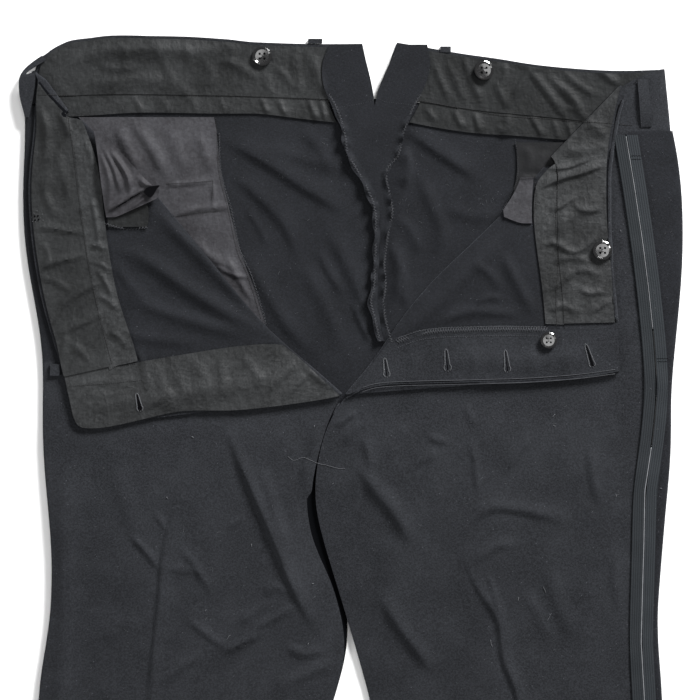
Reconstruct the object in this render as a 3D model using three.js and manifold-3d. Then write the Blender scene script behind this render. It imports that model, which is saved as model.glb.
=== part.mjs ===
// Mess dress trousers, laid flat with the front up, the fly open and both fronts folded out over the legs.
// Millimetres, +Z up, +Y towards the waist. "down" is the distance below the highest point of the waist,
// "x" is measured from the middle of the garment, positive towards the wearer's left.

import * as THREE from 'three';
import Module from 'manifold-3d';
import { mergeVertices } from 'three/addons/utils/BufferGeometryUtils.js';

const wasm = await Module();
wasm.setup();

// ---- Driving dimensions ----
const LENGTH = 1116;            // waist to hem
const WOOL = 1.2;               // wall of the wool cloth
const LINING = 1.0;             // wall of lining, pocketing and braid
const GAP = 0.35;               // clearance at seams and between touching layers
const SEAM = GAP / 2;           // each edge stands this far back from its seam line
const RIM = 2.6;                // the waistband's wool shows this far past its lining at the top edge
const CENTRE_GAP = 1.1;         // the same at the centre-back seam, which the inlays cover
const WAIST_GAP = 0.9;          // clearance between a back or front and its waistband
const FRONT_LEVEL = 5.2;        // middle of a front's wall above the floor, over linings and pockets
const FLAP_LEVEL = 7.6;         // middle of a folded-out flap's wall
const BACK_LEVEL = WOOL / 2;    // middle of a back's wall, flat on the floor
const ON_BACK = WOOL / 2 + GAP + LINING / 2 + 0.2;  // a lining's middle above the back's middle
const ON_LINING = LINING / 2 + GAP + WOOL / 2;      // a wool layer's middle above a lining's middle
const ON_FLAP = WOOL / 2 + GAP + LINING / 2;      // a lining's middle above the flap's middle
const HEM_LOFT = 5.5;           // how far a leg's upper layer stands above its lower one at the hem
const BRAID_WIDTH = 9.4;
const BRAID_START = 83;         // down to the top of the left braid, just under the waistband
const BRAID_RAISE = LINING + GAP;                 // the right leg's braid lies under the leg
const BRAID_REACH = 12;         // distance of the right outseam from the leg's edge, on the underside
const CROTCH = 384;             // down to the fork of the legs
const FLY_BASE = 302;           // down to the foot of the fly

const { lerp, smoothstep } = THREE.MathUtils;

// ---- Tables ----
// Each table is a list of rows with named columns; value(table, t, column) runs a smooth curve through it.
function table(columns, rows) {
  const names = columns.split(' ');
  return rows.map((row) => Object.fromEntries(names.map((name, i) => [name, row[i]])));
}

function value(rows, t, column) {
  const last = rows.length - 1;
  const i = Math.min(Math.max(Math.floor(t), 0), last - 1);
  const f = Math.min(Math.max(t - i, 0), 1);
  const [a, b, c, d] = [i - 1, i, i + 1, i + 2].map((k) => rows[Math.min(Math.max(k, 0), last)][column]);
  const slopeB = (c - a) / 2;
  const slopeC = (d - b) / 2;
  const f2 = f * f;
  const f3 = f2 * f;
  return b * (2 * f3 - 3 * f2 + 1) + slopeB * (f3 - 2 * f2 + f) + c * (3 * f2 - 2 * f3) + slopeC * (f3 - f2);
}

function atDown(rows, down, column) {
  let i = 0;
  while (i < rows.length - 2 && rows[i + 1].down < down) i += 1;
  const span = rows[i + 1].down - rows[i].down;
  return value(rows, i + (down - rows[i].down) / span, column);
}

// Outer silhouette and outseam of the left leg, and outer silhouette of the right leg.
const LEFT_SIDE = table('down edge seam', [
  [72, 272, 232], [110, 279, 238], [157, 282, 245], [200, 281, 251], [245, 277, 256], [300, 272, 260],
  [340, 272, 256], [368, 271, 250], [401, 267, 249], [461, 262.5, 247.5], [512, 258.5, 246],
  [561, 261, 249], [714, 268, 255], [945, 277, 263], [1116, 283, 269],
]);
const RIGHT_SIDE = table('down edge', [
  [52, -277], [68, -276], [99, -276], [130, -278], [180, -276], [215, -269], [268, -261], [344, -261],
  [380, -258], [415, -255], [452, -252], [512, -256], [563, -261], [714, -270], [945, -280], [1116, -287],
]);
// Front seat seam from the fly down to the fork, then the inseam.
const LEFT_INNER = table('down x', [
  [300, -4], [317, -17], [340, -22], [360, -29], [384, -34], [409, -27], [442, -19], [473, -9], [501, -1],
  [530, 8], [558, 17], [614, 27], [714, 39], [903, 54], [1116, 63],
]);
const RIGHT_INNER = table('down x', [
  [384, -34], [409, -27], [442, -19], [473, -9], [501, -2], [520, -1], [540, -6], [560, -15],
  [614, -30], [714, -42], [903, -58], [1116, -67],
]);
// Below the fork the right front stops short of the left one, and the backs' seam runs under the left.
const PARTING = table('down short under', [
  [340, 0, 0], [384, 1, 2], [400, 5, 5], [435, 5.5, 6], [478, 2.6, 5], [523, 0, 0], [560, 0, 0],
]);
// Centre-back seam.
const CENTRE_BACK = table('down x', [
  [50, 21], [99, 22], [148, 25], [180, 24.5], [223, 23], [260, 29], [304, 18], [350, -5], [384, -34],
]);
// Ribs across each folded-out flap, from the fly to the side: fold, waist seam, waist edge.
const FLAP_COLUMNS = 'foldX foldDown seamX seamDown topX topDown';
const FLAP_LEFT = table(FLAP_COLUMNS, [
  [-4, FLY_BASE, 183, 289, 227, 283], [23, 270, 181, 257, 227, 255], [45, 235, 180, 223, 225, 223],
  [76, 200, 176, 190, 223, 193], [114, 165, 175, 159, 220, 165], [144, 134, 175, 133, 219, 138],
  [164, 110, 175, 113, 219, 114],
]);
const FLAP_RIGHT = table(FLAP_COLUMNS, [
  [-7, FLY_BASE, -191, 326, -233, 330], [-41, 272, -203, 279, -244, 282], [-75, 244, -213, 242, -257, 242],
  [-112, 197, -220, 201, -266, 201], [-151, 151, -227, 155, -272, 155], [-180, 116, -231, 119, -273, 121],
  [-210, 88, -235, 89, -270, 93], [-227, 71, -239, 73, -268, 74],
]);
// Waistbands beyond the flap ribs: up to the fold, over the side, and along the back to the centre.
const BAND_COLUMNS = 'seamX seamDown topX topDown';
const BAND_LEFT_END = table(BAND_COLUMNS, [
  [173, 107, 221, 84], [172, 104.5, 226, 60], [171, 103, 230, 42],
]);
const BAND_LEFT_SIDE = table(BAND_COLUMNS, [
  [171, 103, 230, 42], [205, 88.5, 240, 36], [238, 77, 252, 30], [269, 78, 264, 27],
]);
const BAND_LEFT_BACK = table(BAND_COLUMNS, [
  [269, 78, 264, 27], [245, 75.5, 240, 28], [201, 71.5, 211, 28], [164, 67, 153, 23],
  [126, 64, 130, 18], [91, 60, 96, 14], [60, 54, 67, 8.5], [22, 51, 39.5, 4],
]);
const BAND_RIGHT_END = table(BAND_COLUMNS, [
  [-240, 66, -267, 50], [-240, 63, -263.5, 31],
]);
const BAND_RIGHT_SIDE = table(BAND_COLUMNS, [
  [-240, 63, -263.5, 31], [-257, 58, -265, 30.5], [-273, 54, -264.5, 30],
]);
const BAND_RIGHT_BACK = table(BAND_COLUMNS, [
  [-273, 53, -264, 28], [-262, 51, -261, 18], [-247, 50, -245, 8.5], [-222, 48.5, -217, 2],
  [-186, 48, -186, 0], [-130, 49, -130, 1], [-75, 50, -77, 4], [-20, 53, -30, 5.5],
  [20, 51, 10, 5],
]);
// Strips that lie on the flaps and backs: the two long edges of each, from one end to the other.
const STRIP_COLUMNS = 'aX aDown bX bDown';
const FLY_FACING = table(STRIP_COLUMNS, [
  [33, 257, 0, 302], [45, 252, 20, 296], [76, 247, 57, 291.5], [106, 245, 90, 292], [135, 244, 130, 293.5],
  [164, 247, 170, 291.5], [209, 249, 205, 287.5], [226, 245, 228, 283],
]);
const FLY_CATCH = table(STRIP_COLUMNS, [
  [-243, 284, -233, 330], [-203, 280, -214, 332], [-172, 274, -180, 325], [-111, 264, -141, 316],
  [-86, 261, -103, 317], [-61, 260, -57, 312], [-52, 265, -23, 307], [-44, 271, -9, 304],
]);
const CURTAIN_FRONT_LEFT = table(STRIP_COLUMNS, [
  [180, 244, 165, 243], [178.4, 217, 163, 218], [174.6, 189, 159, 189], [173.4, 157, 155, 157],
  [173.2, 133, 155.5, 133], [172, 107, 158.5, 121],
]);
const CURTAIN_FRONT_RIGHT = table(STRIP_COLUMNS, [
  [-202, 278, -180, 271.5], [-211.5, 242, -187, 250], [-216.6, 212, -197, 221], [-222.6, 180, -205, 180],
  [-228.8, 130, -210, 137], [-233.6, 96, -214, 106], [-238.5, 67, -227, 71],
]);
const CURTAIN_BACK_LEFT = table(STRIP_COLUMNS, [
  [60, 54.5, 50, 72], [91, 60.5, 99, 81], [127, 65, 140, 83], [164, 68.2, 170, 86], [201, 73, 205, 88],
  [240, 76.6, 240, 90],
]);
const CURTAIN_BACK_RIGHT = table(STRIP_COLUMNS, [
  [-258, 51.5, -256, 67], [-222, 49.5, -228, 67], [-186, 48.8, -180, 63], [-130, 49.8, -111, 65],
  [-75, 50.8, -79, 64], [-45, 53, -43, 69], [-20, 53.8, -12, 72],
]);
// Inlays of the centre-back seam, from the notch in the waist down to the fronts.
const INLAY = table('down rightEdge rightSeam leftSeam leftEdge', [
  [6, -18, 9.5, 40, 65], [27, -26, 15, 31, 69], [48, -21, 19.8, 21.5, 60], [63, -13, 20, 21.2, 52],
  [83, -7, 20.6, 21.8, 44], [99, -5, 21.2, 22.6, 41], [114, 4, 22, 23.6, 30], [133, 14, 23.4, 24.8, 33],
  [148, 18, 24, 25.4, 36], [165, 19, 24, 25.4, 32], [190, 18, 23.4, 24.8, 29], [212, 17, 22.4, 23.8, 30],
  [224, 14, 22.2, 23.6, 28.5], [240, 18, 24, 25.4, 30], [258, 22, 27.6, 29, 35],
]);
// Pocket bags: left and right edge at each level.
const POCKET_RIGHT = table('down left right', [
  [67.5, -231, -116], [81, -219, -113], [116, -187, -111], [146, -162, -102], [180, -132, -95],
  [203, -114, -85], [218, -102, -80], [244, -83, -72],
]);
const POCKET_PLY_RIGHT = table('down left right', [
  [80, -217, -210], [95, -214.5, -197], [110, -212.5, -183], [122, -211, -173], [130, -210, -162],
  [137, -209, -163], [145, -208, -180], [153, -206.5, -198],
]);
const POCKET_FACING_RIGHT = table('down left right', [
  [131, -206, -176], [146, -206, -170], [161, -205, -172],
]);
const POCKET_PLY_LEFT = table('down left right', [
  [119, 144, 155], [130, 140, 154], [143, 132, 153.5], [151, 128, 153.5], [158, 143, 153.5],
]);
const POCKET_LEFT = table('down left right', [
  [89, 140, 196], [99, 142, 186], [120, 141, 170], [136, 137, 156], [150, 128, 142],
]);
// Broad folds, each a ridge from one point to another: height and half width.
const RIDGE_COLUMNS = 'x1 down1 x2 down2 height half';
const RIDGES = {
  back: table(RIDGE_COLUMNS, [
    [-95, 95, 0, 185, 1.6, 26], [-60, 215, 5, 290, 1.4, 26], [75, 120, 120, 150, 1.4, 24],
  ]),
  frontRight: table(RIDGE_COLUMNS, [
    [-145, 400, -169, 700, 2.6, 26], [-84, 350, -24, 500, 3.0, 26], [-105, 500, -40, 480, 1.6, 24],
    [-169, 700, -178, 1100, 2.2, 26],
  ]),
  frontLeft: table(RIDGE_COLUMNS, [
    [114, 430, 135, 600, 2.6, 28], [135, 600, 172, 1100, 2.2, 28], [110, 400, 215, 470, 1.6, 28],
    [10, 330, 60, 420, 2.0, 26],
  ]),
  flap: table(RIDGE_COLUMNS, [
    [-160, 150, -70, 250, 2.0, 24], [-200, 130, -190, 260, 1.2, 26], [60, 230, 150, 170, 1.6, 26],
    [-130, 285, -60, 290, 1.2, 26], [90, 268, 150, 262, 1.0, 28],
  ]),
};

function ridge(rows, x, down) {
  let rise = 0;
  for (const { x1, down1, x2, down2, height, half } of rows) {
    const run = Math.hypot(x2 - x1, down2 - down1);
    const along = ((x - x1) * (x2 - x1) + (down - down1) * (down2 - down1)) / run / run;
    const across = ((x - x1) * (down2 - down1) - (down - down1) * (x2 - x1)) / run / half;
    const ends = smoothstep(along, -0.15, 0.2) * (1 - smoothstep(along, 0.8, 1.15));
    rise += height * ends * Math.exp(-across * across);
  }
  return rise;
}

// ---- Cloth walls ----
const at = (x, down, z) => new THREE.Vector3(x, -down, z);

// Turns rows of middle points into one closed wall. Points of null leave the wall out there.
function cloth(rows, thickness, offset = 0) {
  const points = [];
  const index = rows.map((row) => row.map((point) => (point ? points.push(point) - 1 : -1)));
  const faces = [];
  for (let r = 0; r + 1 < rows.length; r += 1) {
    for (let c = 0; c + 1 < rows[r].length; c += 1) {
      const [a, b, d, e] = [index[r][c], index[r][c + 1], index[r + 1][c], index[r + 1][c + 1]];
      if (Math.min(a, b, d, e) >= 0) faces.push([a, d, b], [b, d, e]);
    }
  }
  const normals = points.map(() => new THREE.Vector3());
  const edges = new Map();
  for (const [i, j, k] of faces) {
    const ab = points[j].clone().sub(points[i]);
    const ac = points[k].clone().sub(points[i]);
    const normal = ab.cross(ac);
    for (const n of [i, j, k]) normals[n].add(normal);
    for (const [from, to] of [[i, j], [j, k], [k, i]]) {
      if (!edges.delete(`${to} ${from}`)) edges.set(`${from} ${to}`, [from, to]);
    }
  }
  const positions = [];
  for (const side of [0.5, -0.5]) {
    points.forEach((point, i) => {
      const moved = normals[i].clone().setLength(offset + side * thickness).add(point);
      positions.push(moved.x, moved.y, moved.z);
    });
  }
  const n = points.length;
  const triangles = [];
  for (const [i, j, k] of faces) triangles.push(i, j, k, n + i, n + k, n + j);
  for (const [from, to] of edges.values()) triangles.push(from, n + from, to, to, n + from, n + to);
  const geometry = new THREE.BufferGeometry();
  geometry.setAttribute('position', new THREE.Float32BufferAttribute(positions, 3));
  geometry.setIndex(triangles);
  return outward(geometry);
}

function volume(geometry) {
  const p = geometry.getAttribute('position');
  const corner = (i) => new THREE.Vector3().fromBufferAttribute(p, geometry.index.getX(i));
  let sum = 0;
  for (let i = 0; i < geometry.index.count; i += 3) sum += corner(i).dot(corner(i + 1).cross(corner(i + 2)));
  return sum / 6;
}

function outward(geometry) {
  if (volume(geometry) < 0) {
    const order = geometry.index.array;
    for (let i = 0; i < order.length; i += 3) [order[i], order[i + 1]] = [order[i + 1], order[i]];
  }
  geometry.computeVertexNormals();
  return geometry;
}

function range(count) {
  return Array.from({ length: count + 1 }, (_, i) => i / count);
}

// ---- Legs ----
// side: +1 is the wearer's left. edge(down) is the silhouette, inner(down) the front or back inner line.
const LEFT = {
  sign: 1,
  edge: (down) => atDown(LEFT_SIDE, down, 'edge'),
  seam: (down) => atDown(LEFT_SIDE, down, 'seam'),
  inner: (down) => atDown(LEFT_INNER, down, 'x') + SEAM,
  ridges: RIDGES.frontLeft,
  flap: FLAP_LEFT,
  waistBack: BAND_LEFT_BACK,
  waistSide: 79.5,
};
const RIGHT = {
  sign: -1,
  edge: (down) => atDown(RIGHT_SIDE, down, 'edge'),
  inner: (down) => {
    const beside = atDown(LEFT_INNER, down, 'x') - SEAM;
    return down < CROTCH ? beside : Math.min(beside, atDown(RIGHT_INNER, down, 'x'));
  },
  ridges: RIDGES.frontRight,
  flap: FLAP_RIGHT,
  waistBack: BAND_RIGHT_BACK,
  waistSide: 56,
};
const LEG_CELLS = 11;
const BELOW_ROWS = 17;
const STRIP_CELLS = 2;
const ARC_CELLS = 3;

function backInner(side, down) {
  if (down < CROTCH) return atDown(CENTRE_BACK, down, 'x') + side.sign * CENTRE_GAP;
  return side.inner(down) + parting(down, 'under');
}

function parting(down, column) {
  return down > 340 && down < 560 ? Math.max(atDown(PARTING, down, column), 0) : 0;
}

// How far below the first section the waist seam of the back lies at x.
function waistSeam(side, x) {
  const rows = side.waistBack;
  let i = 0;
  while (i < rows.length - 2 && side.sign * rows[i + 1].seamX > side.sign * x) i += 1;
  const f = THREE.MathUtils.clamp((x - rows[i].seamX) / (rows[i + 1].seamX - rows[i].seamX), 0, 1);
  return lerp(rows[i].seamDown, rows[i + 1].seamDown, f) + WAIST_GAP;
}

// Half of the height difference between the leg's upper and lower layer at its outer edge.
const ROLL = (FRONT_LEVEL - BACK_LEVEL) / 2;

// Height of the middle of the back's wall. The right leg's outer part rests on its braid.
function backHeight(side, x, down) {
  const fromEdge = Math.abs(x - side.edge(down));
  const raise = side.sign < 0 ? BRAID_RAISE * (1 - smoothstep(fromEdge, 30, 70)) * smoothstep(down, 70, 90) : 0;
  const shown = smoothstep(fromEdge, 25, 60);
  return BACK_LEVEL + raise + shown * ridge(RIDGES.back, x, down);
}

// Height of the middle of the upper layer, from the inner line to the silhouette.
function frontHeight(side, x, down) {
  const inner = down < FLY_BASE ? 0 : side.inner(down);
  const u = THREE.MathUtils.clamp((x - inner) / (side.edge(down) - inner), 0, 1);
  const below = smoothstep(down, FLY_BASE, CROTCH + 40);
  const settled = lerp(WOOL * 1.5 + GAP * 2, FRONT_LEVEL, smoothstep(u, 0, 0.16));
  const loft = HEM_LOFT * Math.sin(Math.PI * Math.min(u, 0.97)) ** 0.8 * 0.5;
  const under = smoothstep(down, FLY_BASE - 10, FLY_BASE + 60);
  return lerp(FRONT_LEVEL, settled + loft, below) + under * ridge(side.ridges, x, down);
}

// The turned outer edge of a leg: points of a half circle from the upper to the lower layer.
function roll(side, down, from, to, cells) {
  const edge = side.edge(down);
  const high = frontHeight(side, edge, down);
  const low = backHeight(side, edge, down);
  const radius = (high - low) / 2;
  return range(cells).map((f) => {
    const angle = lerp(from, to, f) * Math.PI;
    const x = edge - side.sign * radius * (1 - Math.cos(angle));
    return at(x, down, (high + low) / 2 + radius * Math.sin(angle));
  });
}

// Levels of the rows: a fan beside the flap, then evenly down to the hem.
function frontRows(side) {
  const rows = [];
  const last = side.flap.length - 1;
  const flapRows = side.flap.length + 1;
  for (let i = 0; i <= flapRows; i += 1) {
    const t = last * (1 - i / flapRows);
    const down = value(side.flap, t, 'foldDown');
    const f = (down - side.flap[last].foldDown) / (side.flap[0].foldDown - side.flap[last].foldDown);
    rows.push({ t, innerX: value(side.flap, t, 'foldX'), inner: down, outer: lerp(side.waistSide, FLY_BASE, f) });
  }
  for (let i = 1; i <= BELOW_ROWS; i += 1) {
    const down = lerp(side.flap[0].foldDown, LENGTH, (i / BELOW_ROWS) ** 1.25);
    const short = side.sign < 0 ? parting(down, 'short') : 0;
    rows.push({ t: null, innerX: side.inner(down) - short, inner: down, outer: down });
  }
  return rows;
}

// A flap's middle surface height.
function flapHeight(x, down) {
  return FLAP_LEVEL + ridge(RIDGES.flap, x, down);
}

const FLAP_CELLS = 6;
const FOLD_CELLS = 3;

// The front's fold: it leaves the leg, turns over and goes on as the flap, out to the waist seam.
function flapRow(side, row) {
  const { t } = row;
  const next = Math.max(t - 0.05, 0);
  const before = Math.min(t + 0.05, side.flap.length - 1);
  const tangent = new THREE.Vector2(
    value(side.flap, before, 'foldX') - value(side.flap, next, 'foldX'),
    value(side.flap, before, 'foldDown') - value(side.flap, next, 'foldDown'),
  ).normalize();
  const out = new THREE.Vector2(tangent.y * side.sign, -tangent.x * side.sign);
  const foldX = value(side.flap, t, 'foldX');
  const foldDown = value(side.flap, t, 'foldDown');
  const seamX = value(side.flap, t, 'seamX') - side.sign * SEAM;
  const seamDown = value(side.flap, t, 'seamDown');
  const middle = (FRONT_LEVEL + FLAP_LEVEL) / 2;
  const radius = (FLAP_LEVEL - FRONT_LEVEL) / 2;
  const points = range(FLAP_CELLS).map((f) => {
    const x = lerp(seamX, foldX - out.x * radius, f);
    const down = lerp(seamDown, foldDown - out.y * radius, f);
    return at(x, down, lerp(flapHeight(x, down), FLAP_LEVEL, smoothstep(f, 0.75, 1)));
  });
  for (const f of range(FOLD_CELLS).slice(1, -1)) {
    const angle = (0.5 - f) * Math.PI;
    const reach = radius * (1 - Math.cos(angle));
    points.push(at(foldX - out.x * reach, foldDown - out.y * reach, middle + radius * Math.sin(angle)));
  }
  return { points, start: { x: foldX - out.x * radius, down: foldDown - out.y * radius } };
}

function front(side) {
  const rows = frontRows(side).map((row) => {
    const flap = row.t === null ? null : flapRow(side, row);
    const lead = flap ? flap.points : Array(FLAP_CELLS + FOLD_CELLS).fill(null);
    const start = flap ? flap.start : { x: row.innerX, down: row.inner };
    const outer = side.sign > 0 ? side.seam(row.outer) - SEAM : side.edge(row.outer) + ROLL;
    const leg = range(LEG_CELLS).map((f) => {
      const x = lerp(start.x, outer, f);
      const down = lerp(start.down, row.outer, f);
      const level = flap ? lerp(FRONT_LEVEL, frontHeight(side, x, down), smoothstep(f, 0, 0.2)) : frontHeight(side, x, down);
      return at(x, down, level);
    });
    if (side.sign > 0) return [...lead, ...leg];
    const turned = roll(side, row.outer, 0.5, -0.5, ARC_CELLS + 1);
    const edge = side.edge(row.outer);
    const under = at(edge + BRAID_REACH - SEAM, row.outer, backHeight(side, edge, row.outer));
    return [...lead, ...leg.slice(0, -1), ...turned, under];
  });
  return cloth(rows, WOOL);
}

function back(side) {
  const rows = frontRows(side).map(({ outer }) => {
    const slant = 1 - smoothstep(outer, side.waistSide, 260);
    const level = (x) => outer + slant * (waistSeam(side, x) - side.waistSide);
    const inner = backInner(side, level(0));
    const turned = side.sign > 0 ? roll(side, outer, 0.5, -0.5, ARC_CELLS + 1) : [];
    const radius = side.sign > 0 ? Math.abs(turned.at(-1).x - side.edge(outer)) : BRAID_REACH + SEAM;
    const start = side.edge(outer) - side.sign * radius;
    const flat = range(LEG_CELLS).map((g) => {
      const x = lerp(start, inner, g);
      const down = level(x);
      return at(x, down, backHeight(side, x, down));
    });
    if (side.sign < 0) return flat;
    const strip = range(STRIP_CELLS).slice(0, -1).map((g) => {
      const x = lerp(side.seam(outer) + SEAM, turned[0].x, g);
      return at(x, outer, frontHeight(side, x, outer));
    });
    return [...strip, ...turned, ...flat.slice(1)];
  });
  return cloth(rows, WOOL);
}

// ---- Waistbands and their linings ----
const BAND_CELLS = 2;

// Sections of a waistband between two places on a table of seam and edge points.
function bandRows(rows, from, to, count, level, rim = 0) {
  return range(count).map((f) => {
    const t = lerp(from, to, f);
    const [seamX, seamDown, topX, topDown] = ['seamX', 'seamDown', 'topX', 'topDown'].map((name) => value(rows, t, name));
    const along = new THREE.Vector2(topX - seamX, topDown - seamDown);
    const inset = SEAM / along.length();
    const reach = 1 - rim / along.length();
    return range(BAND_CELLS).map((g) => {
      const x = lerp(seamX, topX, lerp(inset, reach, g));
      const down = lerp(seamDown, topDown, lerp(inset, reach, g));
      return at(x, down, level === FLAP_LEVEL ? flapHeight(x, down) : level);
    });
  });
}

// Points of a half turn between two sections in different layers, bulging along the unit vector out.
function turn(fromRow, toRow, out, cells) {
  return range(cells).slice(1, -1).map((f) => fromRow.map((a, g) => {
    const b = toRow[g];
    const radius = Math.abs(a.z - b.z) / 2;
    const angle = (f - 0.5) * Math.PI;
    const middle = a.clone().lerp(b, f);
    middle.z = (a.z + b.z) / 2 + Math.sign(b.z - a.z) * radius * Math.sin(angle);
    return middle.add(new THREE.Vector3(out[0], out[1], 0).multiplyScalar(radius * Math.cos(angle)));
  }));
}

function bands(side, end, sideTable, foldOut) {
  const ribs = [...side.flap, ...end];
  const flap = (from, count, rim) => bandRows(ribs, from, ribs.length - 1, count, FLAP_LEVEL, rim);
  const beside = (rim) => bandRows(sideTable, 0, sideTable.length - 1, sideTable.length - 1, FRONT_LEVEL, rim);
  const behind = (to, count, rim) => bandRows(side.waistBack, 0, to, count, BACK_LEVEL, rim);
  const overFold = (rows, rim) => turn(rows.at(-1), beside(rim)[0], foldOut, FOLD_CELLS);
  const round = (rows) => turn(beside().at(-1), rows[0], [side.sign, 0], ARC_CELLS + 1);
  return { flap, beside, behind, overFold, round };
}
const BAND_LEFT = bands(LEFT, BAND_LEFT_END, BAND_LEFT_SIDE, [-0.72, 0.7]);
const BAND_RIGHT = bands(RIGHT, BAND_RIGHT_END, BAND_RIGHT_SIDE, [0.83, 0.56]);

function waistband(band, ribs, backRows) {
  const flap = band.flap(0, ribs);
  const behind = band.behind(backRows, backRows);
  return cloth([...flap, ...band.overFold(flap), ...band.beside(), ...band.round(behind), ...behind], WOOL);
}

// A lining is made from the waistband's own points, moved inwards.
function liningFront(band, side, from, ribs) {
  const flap = band.flap(from, ribs, RIM);
  const beside = band.beside(RIM).slice(0, 2);
  return cloth([...flap, ...band.overFold(flap, RIM), ...beside], LINING, -side.sign * ON_FLAP);
}

function liningBack(band, side, to, count) {
  return cloth(band.behind(to, count, RIM), LINING, -side.sign * ON_BACK);
}

// ---- Strips and bags that lie flat on a panel ----
function strip(rows, count, cells, height, thickness) {
  const last = rows.length - 1;
  return cloth(range(count).map((f) => {
    const [aX, aDown, bX, bDown] = ['aX', 'aDown', 'bX', 'bDown'].map((name) => value(rows, f * last, name));
    return range(cells).map((g) => {
      const x = lerp(aX, bX, g);
      const down = lerp(aDown, bDown, g);
      return at(x, down, height(x, down));
    });
  }), thickness);
}

function bag(rows, count, cells, height, thickness, left = 'left', right = 'right') {
  const last = rows.length - 1;
  return cloth(range(count).map((f) => {
    const down = value(rows, f * last, 'down');
    return range(cells).map((g) => {
      const x = lerp(value(rows, f * last, left), value(rows, f * last, right), g);
      return at(x, down, height(x, down));
    });
  }), thickness);
}

const onFlap = (extra) => (x, down) => flapHeight(x, down) + extra;
const onBack = (side, extra = 0) => (x, down) => backHeight(side, x, down) + ON_BACK + extra;

// The bunched pocket ply rises in three folds that meet at its right-hand corner.
const BUNCH = { x: -158, down: 122, folds: 3, rise: 5 };
function bunched(x, down) {
  const angle = Math.atan2(down - BUNCH.down, x - BUNCH.x);
  const reach = Math.min(Math.hypot(x - BUNCH.x, down - BUNCH.down) / 45, 1);
  const wave = 0.5 + 0.5 * Math.cos(angle * BUNCH.folds * 2);
  return FLAP_LEVEL + 4.4 + BUNCH.rise * wave * reach * (1 - 0.4 * reach) * 1.2;
}

// ---- Side braid: a ribbed strip on each side of the outseam, from the waist seam to the hem ----
function braidLeft(sign) {
  const rows = range(24).map((f) => {
    const down = lerp(BRAID_START, LENGTH - 1, f);
    return range(1).map((g) => {
      const x = LEFT.seam(down) + sign * (0.6 + g * BRAID_WIDTH);
      return at(x, down, frontHeight(LEFT, x, down) + WOOL / 2 + GAP + LINING / 2 + 0.1);
    });
  });
  return cloth(rows, LINING);
}

function braidRight(sign) {
  const rows = range(16).map((f) => {
    const down = lerp(100, LENGTH - 1, f);
    return range(1).map((g) => {
      const x = RIGHT.edge(down) + BRAID_REACH + sign * (0.6 + g * BRAID_WIDTH * (sign < 0 ? 0.8 : 1));
      return at(x, down, LINING / 2);
    });
  });
  return cloth(rows, LINING);
}

// ---- Buttons ----
const BRACE_BUTTON = 17;
const FLY_BUTTON = 14.4;
function button(diameter) {
  const r = diameter / 2;
  const thick = 3.2;
  const profile = [
    [0, 0], [r * 0.7, 0], [r, thick * 0.45], [r * 0.97, thick * 0.85], [r * 0.84, thick],
    [r * 0.68, thick * 0.72], [0, thick * 0.66],
  ].map(([x, y]) => new THREE.Vector2(x, y));
  const body = solid(new THREE.LatheGeometry(profile, 20).rotateX(Math.PI / 2));
  const eye = r * 0.24;
  const holes = [[1, 1], [1, -1], [-1, 1], [-1, -1]].map(([a, b]) => {
    const hole = new THREE.CylinderGeometry(r * 0.13, r * 0.13, thick * 3, 6).rotateX(Math.PI / 2);
    return solid(hole.translate(a * eye, b * eye, 0));
  });
  return fromSolid(holes.reduce((left, hole) => left.subtract(hole), body));
}

function solid(geometry) {
  geometry.deleteAttribute('normal');
  geometry.deleteAttribute('uv');
  const merged = mergeVertices(geometry, 1e-4);
  const vertProperties = new Float32Array(merged.getAttribute('position').array);
  const triVerts = new Uint32Array(merged.index.array);
  return new wasm.Manifold(new wasm.Mesh({ numProp: 3, vertProperties, triVerts }));
}

function fromSolid(manifold) {
  const mesh = manifold.getMesh();
  const geometry = new THREE.BufferGeometry();
  geometry.setAttribute('position', new THREE.BufferAttribute(new Float32Array(mesh.vertProperties), 3));
  geometry.setIndex(Array.from(mesh.triVerts));
  return outward(geometry);
}

// ---- Belt loops ----
// A tab that shows past an edge: a small block of doubled cloth.
function tab(x, down, z, width, depth) {
  const geometry = new THREE.BoxGeometry(width, depth, WOOL * 1.6);
  geometry.translate(x, -down, z);
  return geometry;
}

// A whole loop on the left side of the waistband, bowed up between its two sewn ends.
function loopSideLeft() {
  const rows = range(8).map((f) => {
    const down = lerp(36, 76, f);
    const bow = 2.2 * Math.sin(Math.PI * f) ** 0.7;
    return range(1).map((g) => at(lerp(246, 255, g) - 3 * (1 - f), down, FRONT_LEVEL + WOOL + GAP + 0.15 + bow));
  });
  return cloth(rows, WOOL);
}

// The loop at the right-hand corner: it leaves the waist's edge, rounds an open eye and runs down the side.
const LOOP_PATH = table('outX outDown inX inDown z', [
  [-262, 15.5, -258.5, 19.5, 4.3], [-268, 19.5, -264.3, 23, 4.6], [-273.5, 24, -270, 26.6, 5.4],
  [-277.3, 28, -274.7, 30.3, 6.3], [-280, 32.5, -274.3, 32, 7], [-281, 37, -267.5, 29.5, 7.3],
  [-281, 44, -267, 38, 7.3], [-280, 53, -268.6, 50, 7.3], [-277.5, 61, -270.8, 61, 7.3],
  [-276, 68, -272.3, 68, 7.3],
]);
function loopSideRight() {
  const last = LOOP_PATH.length - 1;
  return cloth(range(12).map((f) => {
    const at3 = (name) => value(LOOP_PATH, f * last, name);
    return range(1).map((g) => at(lerp(at3('outX'), at3('inX'), g), lerp(at3('outDown'), at3('inDown'), g), at3('z')));
  }), WOOL);
}

// ---- Assembly ----
const FINISH = {
  wool: { color: 0x23252a, roughness: 0.95 },
  lining: { color: 0x3c3d3b, roughness: 0.6 },
  silesia: { color: 0x5c5761, roughness: 0.7 },
  braid: { color: 0x33383d, roughness: 0.6 },
  button: { color: 0x08080a, roughness: 0.15 },
};
const trousers = new THREE.Group();
trousers.name = 'mess_dress_trousers';

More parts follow.
